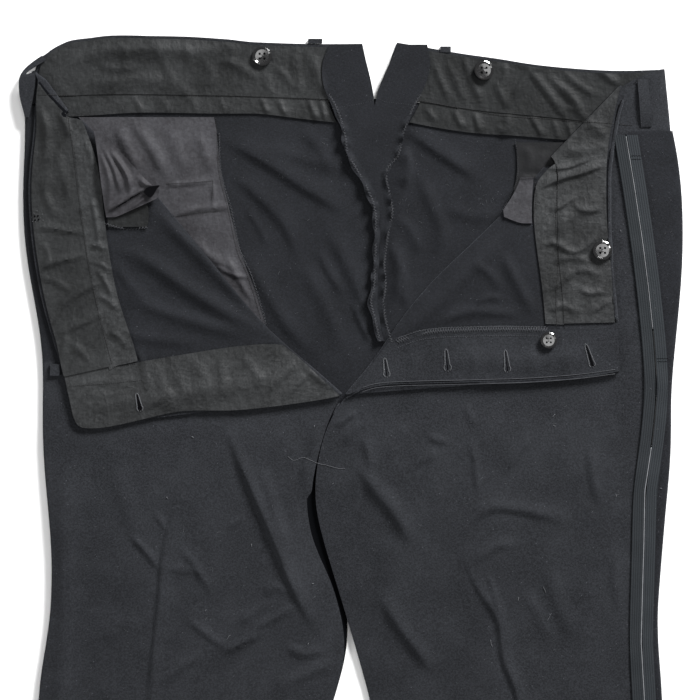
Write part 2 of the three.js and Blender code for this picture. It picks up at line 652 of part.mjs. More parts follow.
function add(name, geometry, finish) {
  const mesh = new THREE.Mesh(geometry, new THREE.MeshStandardMaterial({ ...FINISH[finish], metalness: 0 }));
  mesh.name = name;
  trousers.add(mesh);
  return mesh;
}

add('back_left', back(LEFT), 'wool');
add('back_right', back(RIGHT), 'wool');
add('front_left', front(LEFT), 'wool');
add('front_right', front(RIGHT), 'wool');
add('waistband_left', waistband(BAND_LEFT, 12, 7), 'wool');
add('waistband_right', waistband(BAND_RIGHT, 12, 8), 'wool');
add('lining_front_left', liningFront(BAND_LEFT, LEFT, 1.42, 10), 'lining');
add('lining_front_right', liningFront(BAND_RIGHT, RIGHT, 1.08, 10), 'lining');
add('lining_back_left', liningBack(BAND_LEFT, LEFT, 6.3, 7), 'lining');
add('lining_back_right', liningBack(BAND_RIGHT, RIGHT, 7.2, 8), 'lining');
add('curtain_back_left', strip(CURTAIN_BACK_LEFT, 8, 1, onBack(LEFT), LINING), 'lining');
add('curtain_back_right', strip(CURTAIN_BACK_RIGHT, 9, 1, onBack(RIGHT), LINING), 'lining');
add('curtain_front_left', strip(CURTAIN_FRONT_LEFT, 8, 1, onFlap(ON_FLAP + 0.1), LINING), 'lining');
add('curtain_front_right', strip(CURTAIN_FRONT_RIGHT, 9, 1, onFlap(ON_FLAP + 0.1), LINING), 'lining');
add('fly_facing_left', strip(FLY_FACING, 12, 2, onFlap(WOOL + GAP + 0.1), WOOL), 'wool');
add('fly_catch_right', strip(FLY_CATCH, 12, 2, onFlap(ON_FLAP + 0.1), LINING), 'lining');
add('inlay_right', bag(INLAY, 18, 1, onBack(RIGHT, ON_LINING), WOOL, 'rightEdge', 'rightSeam'), 'wool');
add('inlay_left', bag(INLAY, 18, 1, onBack(LEFT, ON_LINING), WOOL, 'leftSeam', 'leftEdge'), 'wool');
add('pocket_bag_right', bag(POCKET_RIGHT, 8, 3, onBack(RIGHT), LINING), 'silesia');
add('pocket_bag_left', bag(POCKET_LEFT, 5, 2, onBack(LEFT, 0.3), LINING), 'silesia');
add('pocket_ply_left', bag(POCKET_PLY_LEFT, 5, 2, onFlap(ON_FLAP + 0.4), LINING), 'silesia');
add('pocket_ply_right', bag(POCKET_PLY_RIGHT, 7, 5, bunched, LINING), 'silesia');
add('pocket_facing_right', bag(POCKET_FACING_RIGHT, 3, 3, onFlap(ON_FLAP + 0.4), WOOL), 'wool');
add('braid_front_left', braidLeft(-1), 'braid');
add('braid_back_left', braidLeft(1), 'braid');
add('braid_front_right', braidRight(-1), 'braid');
add('braid_back_right', braidRight(1), 'braid');
add('loop_back_left', tab(88, 8, 1, 9, 5), 'wool');
add('loop_back_right', tab(-30, 2.8, 1, 12, 4), 'wool');
add('loop_side_left', loopSideLeft(), 'wool');
add('loop_side_right', loopSideRight(), 'wool');
add('loop_front_right', tab(-250.5, 282, FLAP_LEVEL, 8, 10), 'wool');

const BUTTONS = [
  { name: 'button_back_right', x: -75, down: 16, z: BACK_LEVEL + ON_BACK + LINING / 2 + GAP, diameter: BRACE_BUTTON, tilt: 0 },
  { name: 'button_back_left', x: 113, down: 28, z: BACK_LEVEL + ON_BACK + LINING / 2 + 1.4, diameter: BRACE_BUTTON, tilt: 0.12 },
  { name: 'button_front_left', x: 213, down: 181, z: FLAP_LEVEL + ON_FLAP + 1.2, diameter: BRACE_BUTTON, tilt: 0.08 },
  { name: 'button_fly', x: 167.5, down: 257, z: FLAP_LEVEL + 3.6, diameter: FLY_BUTTON, tilt: 0.05 },
];
for (const { name, x, down, z, diameter, tilt } of BUTTONS) {
  const mesh = add(name, button(diameter), 'button');
  mesh.position.copy(at(x, down, z));
  mesh.rotation.y = tilt;
}

// The origin is under the middle of the whole garment.
trousers.updateMatrixWorld(true);
const box = new THREE.Box3().setFromObject(trousers, true);
trousers.position.set(-(box.min.x + box.max.x) / 2, -(box.min.y + box.max.y) / 2, -box.min.z);
trousers.updateMatrixWorld(true);

export default trousers;
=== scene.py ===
# %% [markdown]
# # Mess dress trousers, laid flat
# A pair of evening uniform trousers lies on a pale table, front side up. The fly is open and both
# fronts are folded out over the legs, so the linings, pocket bags and buttonholes can be seen.
# The frame that is loaded first holds every piece of cloth as a plain wall of the right size. This
# lesson gives each of them its creases, its stitches and its finish.

# %% Load the frame
import math
import random

import bmesh
import bpy
import numpy as np
from mathutils import Matrix, Vector, noise
from mathutils.bvhtree import BVHTree


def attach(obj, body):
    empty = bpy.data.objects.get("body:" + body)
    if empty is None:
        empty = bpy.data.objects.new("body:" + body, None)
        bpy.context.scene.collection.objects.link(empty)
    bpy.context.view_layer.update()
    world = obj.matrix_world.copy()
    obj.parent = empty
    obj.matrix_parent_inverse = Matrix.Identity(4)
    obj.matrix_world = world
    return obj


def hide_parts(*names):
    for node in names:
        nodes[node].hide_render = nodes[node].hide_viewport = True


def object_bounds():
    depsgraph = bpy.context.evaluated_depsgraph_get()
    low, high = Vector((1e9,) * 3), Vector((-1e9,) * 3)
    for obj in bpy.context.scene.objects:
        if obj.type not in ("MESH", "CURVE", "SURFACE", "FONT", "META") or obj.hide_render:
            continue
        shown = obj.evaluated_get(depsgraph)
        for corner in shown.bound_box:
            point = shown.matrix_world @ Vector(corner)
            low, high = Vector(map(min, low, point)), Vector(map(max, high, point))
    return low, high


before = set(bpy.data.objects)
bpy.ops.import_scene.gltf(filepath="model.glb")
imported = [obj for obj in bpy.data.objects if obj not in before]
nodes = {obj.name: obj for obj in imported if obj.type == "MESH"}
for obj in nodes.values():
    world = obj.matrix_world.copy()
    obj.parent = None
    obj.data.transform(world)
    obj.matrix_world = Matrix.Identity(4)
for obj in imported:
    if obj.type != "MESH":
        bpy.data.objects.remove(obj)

cad_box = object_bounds()
MM = 0.001
TOP = cad_box[1].y / MM          # the highest point of the waist
print("nodes:", len(nodes))
print("size in mm:", [round((b - a) / MM) for a, b in zip(*cad_box)])

# %% [markdown]
# ## The chart
# Creases and seams were charted on squared paper laid over the trousers. One square is 0.85 mm,
# counted `h` squares across from the paper's left edge and `v` squares down from its top edge. The
# tables below use these squares for places and widths, and millimetres for heights.

# %% From squares to the table
SQUARE = 0.85
ACROSS, DOWN = 348.15, 38.0      # the square at the middle of the garment, and at the waist's top


def to_squares(xyz):
    """Points in metres to columns h, v and the height z in millimetres."""
    x, y, z = (xyz / MM).T
    return x / SQUARE + ACROSS, (TOP - y) / SQUARE + DOWN, z


def place(h, v, z=0.0):
    return Vector(((h - ACROSS) * SQUARE, TOP - (v - DOWN) * SQUARE, z)) * MM


# %% [markdown]
# ## Camera
# The trousers lie flat, so the camera looks straight down. A long lens far above the table keeps
# their outline free of perspective, as in a catalogue picture. It frames the upper half.

# %% Camera
VIEW_SQUARES = 700               # the picture's side
VIEW_HEIGHT = 2.4                # metres above the table
SENSOR = 36                      # millimetres


def put(name, data):
    """A new object in the scene."""
    thing = bpy.data.objects.new(name, data)
    bpy.context.scene.collection.objects.link(thing)
    return thing


camera_data = bpy.data.cameras.new("camera")
camera_data.sensor_width = SENSOR
camera_data.lens = SENSOR * VIEW_HEIGHT / (VIEW_SQUARES * SQUARE * MM)
camera = put("camera", camera_data)
camera.location = place(VIEW_SQUARES / 2, VIEW_SQUARES / 2) + Vector((0, 0, VIEW_HEIGHT))
bpy.context.scene.camera = camera
print("lens in mm:", round(camera_data.lens))

# %% [markdown]
# ## Shader maths
# Node trees are easier to read as formulas. This class wraps one socket, so `a * b + 1` adds the
# Math nodes for us. `make` adds any other node: settings first, then the values of its inputs.


# %% Sockets as values
class Value:
    def __init__(self, tree, socket):
        self.tree, self.socket = tree, socket

    def math(self, operation, *others):
        node = self.tree.nodes.new("ShaderNodeMath")
        node.operation = operation
        for slot, other in zip(node.inputs, (self, *others)):
            feed(self.tree, slot, other)
        return Value(self.tree, node.outputs[0])

    def __add__(self, other):
        return self.math("ADD", other)

    def __sub__(self, other):
        return self.math("SUBTRACT", other)

    def __mul__(self, other):
        return self.math("MULTIPLY", other)

    def __rsub__(self, other):
        return (self * -1) + other

    __radd__ = __add__
    __rmul__ = __mul__


def feed(tree, slot, value):
    if isinstance(value, Value):
        tree.links.new(value.socket, slot)
    elif value is not None:
        slot.default_value = value


class Finish:
    """A material in the making: one Principled shader and the nodes that feed it."""

    def __init__(self, name, **constants):
        self.material = bpy.data.materials.new(name)
        self.material.use_nodes = True
        self.tree = self.material.node_tree
        self.shader = self.tree.nodes["Principled BSDF"]
        for key, value in constants.items():
            self.shader.inputs[key.replace("_", " ")].default_value = value

    def make(self, kind, settings=None, output=0, **inputs):
        node = self.tree.nodes.new(kind)
        for key, value in (settings or {}).items():
            setattr(node, key, value)
        for key, value in inputs.items():
            name = key.replace("_", " ")
            feed(self.tree, node.inputs[int(name[1:]) if name[1:].isdigit() else name], value)
        return Value(self.tree, node.outputs[output])

    def here(self):
        """The place on the piece, in Object coordinates."""
        return self.make("ShaderNodeTexCoord", output=3)

    def noise(self, scale, detail=3.0, rough=0.5, stretch=(1, 1, 1), turn=0.0):
        spot = self.make("ShaderNodeMapping", Vector=self.here(), Scale=stretch, Rotation=(0, 0, turn))
        return self.make("ShaderNodeTexNoise", Vector=spot, Scale=scale, Detail=detail, Roughness=rough)

    def ramp(self, value, low, high):
        return self.make("ShaderNodeMapRange", {"interpolation_type": "SMOOTHSTEP"}, Value=value,
                         From_Min=low, From_Max=high)

    def blend(self, mask, a, b):
        return self.make("ShaderNodeMix", {"data_type": "RGBA"}, output=2, i0=mask, i6=a, i7=b)

    def set(self, slot, value):
        feed(self.tree, self.shader.inputs[slot], value)

    def bump(self, height, distance, strength=1.0):
        self.set("Normal", self.make("ShaderNodeBump", Height=height, Distance=distance, Strength=strength))


# %% [markdown]
# ## Wool
# The cloth is a dense black barathea with a short nap. Seen close it is a fine slanting weave with
# felted fibres over it; seen from a step away it is nearly even, with a little cloudiness, pale dust
# and a bluish grey cast where the nap catches the light.


# %% Wool finish
HAIRS, DUST = (0.042, 0.044, 0.049, 1), (0.12, 0.125, 0.14, 1)


def wool(name, dark, light, turn=0.0):
    cloth = Finish(name, Sheen_Weight=0.09, Sheen_Roughness=0.5, Sheen_Tint=(0.75, 0.8, 0.9, 1),
                   Specular_IOR_Level=0.15)
    cloudy = cloth.ramp(cloth.noise(26, 4, 0.6), 0.3, 0.72)
    felted = cloth.ramp(cloth.noise(700, 3, 0.75), 0.38, 0.63)
    fibres = cloth.ramp(cloth.noise(420, 2, 0.5, (1, 5, 1), turn + 0.5), 0.6, 0.78)
    crossing = cloth.ramp(cloth.noise(420, 2, 0.5, (1, 5, 1), turn - 0.9), 0.6, 0.78)
    tone = cloth.blend(cloudy * 0.3 + felted * 0.7, (*dark, 1), (*light, 1))
    hairs = (fibres + crossing) * 0.32
    tone = cloth.blend(hairs, tone, HAIRS)
    specks = cloth.make("ShaderNodeTexVoronoi", Vector=cloth.here(), Scale=150.0)
    dust = 1 - cloth.ramp(specks, 0.03, 0.075)
    cloth.set("Base Color", cloth.blend(dust * 0.4, tone, DUST))
    cloth.set("Roughness", felted * 0.14 + 0.82)
    weave = cloth.noise(1500, 2, 0.6, (1, 2.4, 1), turn + 0.6)
    nap = cloth.noise(380, 4, 0.7)
    cloth.bump(weave * 0.35 + nap * 0.8 + hairs * 0.5, 0.0007, 0.6)
    return cloth.material


# %% [markdown]
# ## Linings and pockets
# The waistband is lined with a twilled cotton with a soft shine, which shows every crease. The
# pocket bags are silesia, a paler polished cotton. Both have a fine twill line and small crinkles
# that no table could hold: ridged noise, stretched along the cloth.


# %% Lining finish
TWILL_ANGLE = math.radians(40)


def twill(name, dark, light, shine, crinkle, turn=0.0):
    cloth = Finish(name, Sheen_Weight=0.05, Sheen_Roughness=0.5, Specular_IOR_Level=0.16)
    tone_and_sheen_patches = cloth.ramp(cloth.noise(24, 4, 0.62), 0.3, 0.7)
    fine_tone_and_sheen = cloth.ramp(cloth.noise(330, 4, 0.7), 0.32, 0.72)
    # slow and fine patches in the colour paint the twill's changing shine, with some random tone
    cloth.set("Base Color", cloth.blend(tone_and_sheen_patches * 0.55 + fine_tone_and_sheen * 0.45, (*dark, 1), (*light, 1)))
    cloth.set("Roughness", fine_tone_and_sheen * 0.12 - tone_and_sheen_patches * 0.1 + shine)
    spot = cloth.make("ShaderNodeMapping", Vector=cloth.here(), Rotation=(0, 0, turn + TWILL_ANGLE))
    line = cloth.make("ShaderNodeTexWave", Vector=spot, Scale=300.0, Distortion=1.5, Detail=2.0,
                      Detail_Scale=2.0)
    small = (cloth.noise(70, 3, 0.55, (1, 0.45, 1), turn + 0.5) - 0.5).math("ABSOLUTE")
    sharp = (cloth.noise(150, 2, 0.5, (0.5, 1, 1), turn - 0.4) - 0.5).math("ABSOLUTE")
    fine = line * 0.02 + cloth.noise(700, 3, 0.6) * 0.08
    cloth.bump(fine - small * crinkle - sharp * crinkle * 0.4, 0.0028, 0.8)
    return cloth.material


# %% [markdown]
# ## Braid, thread and buttons
# Mohair braid has five round ribs along it, crossed by fine slanting threads. Its colour, painted
# darker between the ribs as shade, and its relief both come from one sine wave over the strip's width,
# so they can't drift apart. Thread and buttons are even enough for one plain colour each.

# %% Braid finish
RIBS = 5
# the braid's colour between the ribs is darker as painted shade
MOHAIR = (0.004, 0.005, 0.0064), (0.0212, 0.0245, 0.0275)       # between the ribs, and on them


def ribbed(name, pale=1.0):
    braid = Finish(name, Specular_IOR_Level=0.12, Roughness=0.62)
    across = braid.make("ShaderNodeAttribute", {"attribute_name": "across"}, output=2)
    rib = (across * RIBS * math.pi).math("SINE").math("ABSOLUTE")
    threads = braid.noise(900, 3, 0.6, (0.6, 1.6, 1), 0.5)
    # the colour is darker between the ribs as painted shade, lighter on them
    groove_shade, ridge = ((*(pale * part for part in tone), 1) for tone in MOHAIR)
    braid.set("Base Color", braid.blend(rib * 0.55 + threads * 0.5, groove_shade, ridge))
    braid.bump(rib * 0.3 + threads * 0.35, 0.0005, 0.8)
    return braid.material


def plain(name, colour, rough, **constants):
    return Finish(name, Base_Color=(*colour, 1), Roughness=rough, **constants).material


# %% The finishes
FINISHES = {
    "wool": wool("wool", (0.0042, 0.0047, 0.006), (0.0205, 0.022, 0.0256)),
    "wool_inside": wool("wool_inside", (0.0024, 0.0028, 0.0038), (0.0116, 0.0126, 0.0156), 0.6),
    "lining": twill("lining", (0.0048, 0.0053, 0.0056), (0.0222, 0.0235, 0.0245), 0.62, 1.0),
    # a darker copy of the lining, painted with shade on the back-left lining and its curtain; the pocket
    # facing takes it as its own tone
    "lining_deep": twill("lining_deep", (0.0032, 0.0036, 0.0038), (0.0145, 0.0157, 0.0164), 0.64, 1.0),
    # the next two are lighter copies of the lining, painted with the extra light that falls on the folded-out
    # flaps
    "lining_front": twill("lining_front", (0.0056, 0.006, 0.0063), (0.0292, 0.0307, 0.0321), 0.62, 1.25, 1.3),
    "lining_lit_pale": twill("lining_lit_pale", (0.0068, 0.0073, 0.0077), (0.0355, 0.0373, 0.039), 0.62, 1.25, 1.3),
    "silesia": twill("silesia", (0.0165, 0.0155, 0.0178), (0.046, 0.046, 0.0515), 0.62, 0.6),
    "pocketing": twill("pocketing", (0.0032, 0.0034, 0.004), (0.0076, 0.0079, 0.009), 0.65, 0.3),
    "braid": ribbed("braid"),
    "braid_back": ribbed("braid_back", 1.25),
    # a dark, dull finish that paints shade on cut edges, on the turned-down lining's bevel and on the legs'
    # insides at the fork
    "edge": plain("edge", (0.0035, 0.0038, 0.0045), 1.0, IOR=1.0),
    "button": plain("button", (0.003, 0.003, 0.0035), 0.14, Coat_Weight=0.8, Coat_Roughness=0.07,
                    Specular_IOR_Level=0.7),
    "black_thread": plain("black_thread", (0.003, 0.003, 0.0035), 0.8),
    "grey_thread": plain("grey_thread", (0.034, 0.036, 0.041), 0.8),
    "overlock_thread": plain("overlock_thread", (0.044, 0.046, 0.052), 0.8),
    "pale_thread": plain("pale_thread", (0.085, 0.088, 0.095), 0.8),
    "white_thread": plain("white_thread", (0.15, 0.155, 0.165), 0.8),
    "shadow": plain("shadow", (0.0015, 0.0015, 0.002), 0.95, Specular_IOR_Level=0.05),
}
print("finishes:", len(FINISHES))

# %% [markdown]
# ## Creases
# Worn cloth never lies quite flat. Its creases are listed layer by layer. Each row gives the
# places that the crease runs through, its height in millimetres, and how wide it is on its left and
# on its right, seen along its run. A narrow side falls sharply, as at a pressed edge.
#
# Each layer lifts the layers above it, so the tables are added up from the table top: `settle` opens a
# layer's table only for cloth at that height or higher.

# %% Creases of the backs
BACK_CREASES = [
    ([(222, 138), (262, 160), (305, 188), (348, 214)], 2.6, 13, 5),
    ([(230, 172), (258, 196), (285, 226), (300, 262)], 2.0, 12, 5),
    ([(262, 146), (300, 158), (345, 170)], 1.3, 8, 7),
    ([(240, 250), (262, 285), (285, 322), (310, 350)], 2.0, 10, 6),
    ([(300, 262), (322, 300), (345, 350)], 1.6, 8, 8),
    ([(404, 128), (438, 152), (480, 180)], 2.2, 11, 5),
    ([(418, 168), (430, 200), (442, 232), (432, 262)], 1.8, 7, 7),
    ([(440, 205), (470, 216), (502, 212)], 1.2, 7, 7),
    ([(400, 250), (404, 279), (406, 312)], 1.6, 5, 5),
    ([(326, 225), (342, 255), (358, 290), (372, 335)], 2.0, 10, 6),
    ([(300, 128), (318, 146), (332, 170)], 1.4, 8, 6),
    ([(395, 215), (412, 232), (420, 255)], 1.2, 5, 6), ([(404, 146), (409, 166), (403, 190)], 3.0, 4, 8),
    ([(318, 250), (330, 275), (344, 296)], 1.5, 5, 3), ([(352, 300), (360, 322), (372, 345)], 1.6, 4, 3),
    ([(393, 240), (398, 270), (396, 305)], 2.2, 5, 5), ([(246, 208), (258, 226), (268, 246)], 1.0, 4, 3),
]

# %% Creases of the back linings
BACK_LINING_CREASES = [
    ([(58, 80), (78, 61), (108, 52), (150, 50), (200, 52), (248, 50)], 1.6, 7, 8),
    ([(84, 88), (118, 82), (150, 80), (176, 86)], 1.2, 6, 9),
    ([(152, 40), (163, 66), (177, 93)], 0.9, 7, 1.8),
    ([(200, 56), (208, 66), (212, 78), (203, 92)], 1.0, 3, 6),
    ([(214, 60), (238, 66), (262, 84)], 0.9, 5, 4), ([(272, 66), (284, 76), (296, 93)], 1.1, 4, 2.2),
    ([(262, 70), (267, 82), (271, 96)], 0.9, 3, 3), ([(297, 48), (295, 66), (301, 97)], 1.1, 4, 2.5),
    ([(314, 56), (318, 76), (327, 97)], 1.2, 3.5, 2.2), ([(306, 50), (312, 68), (314, 92)], 0.8, 3, 2.5),
    ([(133, 96), (138, 105), (143, 115)], 0.9, 3, 1.8), ([(160, 98), (166, 106), (170, 114)], 0.5, 4, 3),
    ([(219, 98), (223, 106), (226, 114)], 0.6, 4, 3), ([(261, 98), (264, 106), (268, 115)], 1.0, 3, 1.8),
    ([(278, 99), (281, 107), (286, 117)], 1.0, 4, 2), ([(309, 100), (312, 110), (317, 122)], 1.1, 4, 2),
    ([(322, 101), (323, 110), (325, 121)], 0.9, 2.5, 2), ([(176, 86), (188, 96), (196, 112)], 0.7, 5, 3),
    ([(432, 60), (438, 76), (450, 104)], 1.1, 4, 2.5), ([(447, 62), (456, 82), (464, 104)], 0.9, 4, 3),
    ([(460, 54), (470, 78), (482, 108)], 1.2, 5, 2), ([(494, 80), (500, 94), (508, 110)], 1.1, 4, 2.5),
    ([(504, 62), (505, 74), (501, 88)], 1.0, 3, 4), ([(531, 64), (522, 80), (511, 99)], 1.0, 5, 1.5),
    ([(524, 66), (545, 92), (568, 124)], 1.4, 6, 1.6), ([(546, 74), (565, 95), (588, 119)], 1.2, 5, 2.2),
    ([(560, 70), (576, 84), (598, 98)], 0.9, 4, 3), ([(594, 68), (606, 77), (618, 87)], 1.2, 5, 2.5),
    ([(565, 106), (577, 112), (588, 121)], 0.8, 2.5, 3), ([(515, 60), (523, 66), (548, 70)], 0.8, 3, 4),
    ([(424, 106), (430, 114), (436, 122)], 0.7, 3, 3), ([(453, 110), (457, 119), (463, 130)], 1.1, 4, 2),
    ([(474, 112), (476, 122), (480, 134)], 1.1, 5, 2), ([(503, 114), (508, 124), (498, 136)], 1.2, 7, 6),
    ([(530, 116), (536, 126), (542, 138)], 1.1, 4, 2), ([(552, 120), (556, 130), (558, 141)], 0.8, 3, 3),
    ([(567, 122), (569, 130), (571, 139)], 1.0, 3, 1.8), ([(96, 64), (118, 70), (140, 68)], 0.8, 5, 3),
    ([(120, 44), (126, 56), (122, 72)], 0.8, 4, 2), ([(182, 44), (190, 58), (186, 74)], 0.8, 4, 2),
    ([(224, 42), (232, 54), (226, 70)], 0.8, 4, 2), ([(560, 84), (574, 100), (580, 116)], 0.9, 4, 2),
]

# %% Creases of the fronts
FRONT_CREASES = [
    ([(181, 470), (175, 508), (164, 556), (161, 592), (156, 638), (150, 710), (146, 800)], 1.5, 9, 2.2),
    ([(226, 425), (238, 455), (255, 495), (277, 546), (289, 577), (303, 606), (319, 632)], 3.0, 9, 4),
    ([(258, 462), (270, 492), (281, 528), (292, 556)], 1.6, 6, 6),
    ([(155, 511), (161, 520), (168, 530)], 0.8, 3, 3), ([(130, 534), (146, 550), (160, 568)], 1.2, 4, 2.5),
    ([(166, 568), (184, 569), (198, 571), (203, 586)], 0.9, 4, 3),
    ([(181, 547), (200, 570), (212, 594)], 1.0, 4, 3),
    ([(186, 616), (204, 630), (217, 640), (233, 646)], 1.2, 4, 3.5),
    ([(221, 654), (234, 646), (247, 640), (268, 629)], 2.0, 5, 3),
    ([(252, 630), (274, 618), (297, 604)], 1.6, 4, 3),
    ([(237, 623), (255, 611), (273, 600)], 1.1, 4, 3), ([(219, 696), (231, 680), (246, 659)], 1.3, 5, 3),
    ([(159, 688), (177, 669), (203, 653)], 1.2, 5, 4),
    ([(277, 700), (288, 684), (314, 670), (337, 660)], 1.8, 7, 5),
    ([(285, 644), (304, 652), (326, 648)], 1.6, 4, 5), ([(226, 528), (236, 521), (246, 514)], 0.9, 3, 3),
    ([(262, 590), (276, 586), (290, 590)], 0.9, 3, 4), ([(189, 702), (204, 690), (217, 676)], 0.9, 4, 4),
    ([(70, 450), (64, 520), (66, 600), (60, 700), (52, 800)], 2.2, 12, 9),
    ([(104, 640), (122, 625), (140, 615)], 1.0, 9, 9), ([(110, 470), (126, 500), (140, 540)], 0.9, 9, 9),
    ([(320, 420), (314, 445), (306, 470), (303, 490)], 1.4, 6, 5),
    ([(357, 462), (374, 488), (394, 512), (412, 544)], 2.4, 9, 6),
    ([(363, 434), (368, 452), (372, 470)], 1.2, 4, 4),
    ([(426, 435), (437, 440), (450, 442)], 1.0, 4, 3), ([(416, 464), (427, 457), (438, 450)], 0.9, 3, 4),
    ([(468, 440), (474, 458), (476, 478), (478, 498)], 1.1, 4, 3),
    ([(476, 426), (470, 416), (464, 404)], 0.9, 4, 4),
    ([(502, 475), (517, 454), (534, 432)], 1.1, 5, 3),
    ([(466, 528), (478, 516), (494, 507), (528, 511), (567, 520)], 1.7, 7, 4),
    ([(471, 563), (492, 547), (516, 541)], 1.1, 6, 4), ([(589, 445), (592, 480), (600, 506)], 1.2, 6, 4),
    ([(461, 552), (477, 587), (497, 618), (503, 658), (518, 702), (528, 800)], 1.7, 8, 2.4),
    ([(487, 572), (493, 590), (499, 610)], 1.0, 3, 3),
    ([(380, 592), (397, 623), (417, 649), (433, 673)], 2.0, 8, 5),
    ([(336, 428), (346, 419), (357, 411)], 1.4, 4, 2.5), ([(343, 444), (352, 432), (361, 420)], 1.0, 4, 3),
    ([(410, 424), (395, 440), (386, 458)], 1.0, 7, 6), ([(545, 560), (556, 600), (574, 640)], 1.2, 10, 8),
    ([(612, 552), (614, 580), (618, 610)], 0.9, 6, 5), ([(520, 590), (536, 610), (548, 640)], 0.9, 7, 6),
    ([(128, 800), (140, 950), (150, 1150)], 1.4, 12, 10), ([(528, 800), (548, 980), (566, 1200)], 1.6, 9, 3),
    ([(146, 800), (138, 980), (130, 1200)], 1.6, 9, 3), ([(220, 800), (236, 900), (262, 980)], 1.8, 12, 9),
    ([(420, 780), (440, 900), (430, 1030)], 1.8, 12, 9), ([(600, 820), (588, 940), (600, 1060)], 1.4, 11, 9),
    ([(90, 900), (104, 1010), (96, 1120)], 1.4, 11, 9), ([(470, 1080), (500, 1150), (520, 1240)], 1.3, 10, 8),
    ([(180, 1060), (200, 1150), (196, 1250)], 1.3, 10, 8),
]

# %% Creases of the folded-out flaps
FLAP_CREASES = [
    ([(112, 246), (150, 262), (190, 290), (235, 317), (272, 336)], 2.6, 8, 8),
    ([(152, 206), (186, 240), (226, 281), (262, 318)], 2.4, 5, 8),
    ([(118, 292), (160, 310), (210, 326), (262, 338)], 1.6, 7, 7),
    ([(112, 330), (150, 338), (200, 344)], 1.0, 6, 6), ([(116, 262), (130, 285), (150, 300)], 1.0, 6, 5),
    ([(396, 346), (431, 311), (470, 271), (505, 236)], 2.2, 8, 8),
    ([(430, 326), (470, 312), (522, 315)], 1.4, 6, 5),
    ([(500, 250), (520, 290), (534, 316)], 1.4, 6, 6), ([(474, 305), (488, 298), (504, 300)], 1.0, 4, 4),
    ([(470, 262), (490, 275), (500, 292)], 0.9, 5, 5),
    ([(64, 396), (120, 402), (200, 392), (300, 374)], 1.0, 9, 9),
    ([(420, 366), (470, 360), (520, 362), (600, 352)], 0.8, 10, 9),
]

# %% Creases of the flaps' linings
FLAP_LINING_CREASES = [
    ([(40, 108), (47, 128), (47, 152), (43, 172)], 1.6, 5, 4), ([(52, 172), (46, 192), (56, 218)], 1.2, 4, 4),
    ([(58, 112), (66, 124), (70, 140)], 0.9, 4, 3), ([(60, 150), (64, 176), (72, 200)], 0.8, 5, 5),
    ([(32, 230), (52, 229), (68, 232), (90, 234)], 1.0, 4, 1.4),
    ([(41, 270), (60, 262), (88, 257)], 1.1, 4, 1.8),
    ([(38, 279), (56, 282), (74, 294)], 0.8, 4, 2), ([(40, 240), (50, 256), (42, 274)], 0.8, 3, 3),
    ([(60, 308), (82, 293), (104, 281)], 1.0, 5, 2), ([(54, 336), (84, 324), (104, 312)], 1.0, 5, 2.2),
    ([(62, 362), (66, 346), (66, 330)], 0.9, 3, 3), ([(70, 344), (82, 352), (92, 364)], 0.9, 4, 2),
    ([(88, 246), (98, 246), (108, 250)], 1.0, 3, 2), ([(92, 262), (104, 266), (112, 272)], 0.8, 3, 2),
    ([(96, 296), (108, 300), (120, 312)], 0.9, 4, 2), ([(108, 330), (118, 336), (130, 350)], 0.9, 4, 3),
    ([(76, 214), (90, 206), (100, 204)], 0.7, 3, 2), ([(84, 140), (90, 150), (96, 172)], 0.7, 4, 3),
    ([(138, 349), (143, 364), (149, 388), (150, 404)], 1.7, 6, 1.4),
    ([(150, 350), (156, 368), (166, 392), (184, 408)], 1.4, 4, 3),
    ([(154, 398), (165, 404), (178, 408)], 1.2, 3, 2), ([(146, 412), (158, 400), (172, 392)], 1.0, 3, 2),
    ([(218, 356), (221, 372), (223, 398)], 1.1, 5, 1.8), ([(196, 360), (202, 376), (198, 396)], 0.8, 5, 5),
    ([(240, 356), (252, 370), (262, 386)], 1.0, 5, 2), ([(262, 396), (276, 382), (298, 362)], 1.2, 5, 2.4),
    ([(284, 398), (298, 384), (312, 372)], 1.1, 4, 2.4), ([(246, 396), (258, 382), (274, 366)], 0.9, 4, 3),
    ([(70, 386), (92, 384), (114, 383), (144, 380)], 0.8, 3, 1.6),
    ([(172, 372), (184, 386), (186, 404)], 0.8, 5, 4),
    ([(306, 366), (316, 376), (332, 388)], 1.0, 4, 3), ([(76, 398), (94, 406), (112, 408)], 0.7, 5, 5),
    ([(537, 190), (557, 181), (582, 174), (607, 164)], 1.4, 7, 1.8),
    ([(560, 150), (584, 152), (606, 142)], 0.9, 7, 6),
    ([(540, 236), (566, 222), (604, 192)], 1.0, 9, 9),
    ([(537, 249), (553, 244), (574, 253), (598, 237)], 1.1, 4, 2),
    ([(552, 262), (572, 258), (592, 264)], 0.8, 4, 3),
    ([(540, 296), (556, 284), (580, 270), (606, 282)], 0.9, 5, 4),
    ([(590, 314), (600, 306), (612, 299)], 0.9, 3, 2.4), ([(546, 312), (562, 306), (578, 314)], 0.8, 4, 3),
    ([(584, 120), (596, 130), (606, 140)], 0.8, 5, 5), ([(562, 196), (562, 230), (565, 262)], 0.5, 5, 4),
    ([(410, 352), (414, 368), (408, 382)], 0.7, 6, 5), ([(470, 346), (474, 362), (470, 378)], 0.6, 6, 5),
    ([(92, 196), (97, 222), (100, 246)], 0.8, 3, 2), ([(98, 268), (108, 286), (114, 300)], 0.9, 3, 2),
    ([(544, 170), (568, 168), (592, 158)], 0.9, 4, 2), ([(570, 204), (584, 212), (602, 210)], 0.9, 4, 2),
    ([(548, 212), (562, 206), (576, 196)], 0.9, 4, 2), ([(576, 288), (588, 294), (604, 292)], 0.9, 4, 2),
    ([(184, 356), (196, 368), (206, 384)], 0.9, 4, 2), ([(84, 392), (104, 396), (124, 394)], 0.8, 4, 2),
    ([(528, 350), (532, 362), (528, 376)], 0.6, 6, 5), ([(560, 352), (566, 362), (562, 374)], 0.7, 6, 5),
]

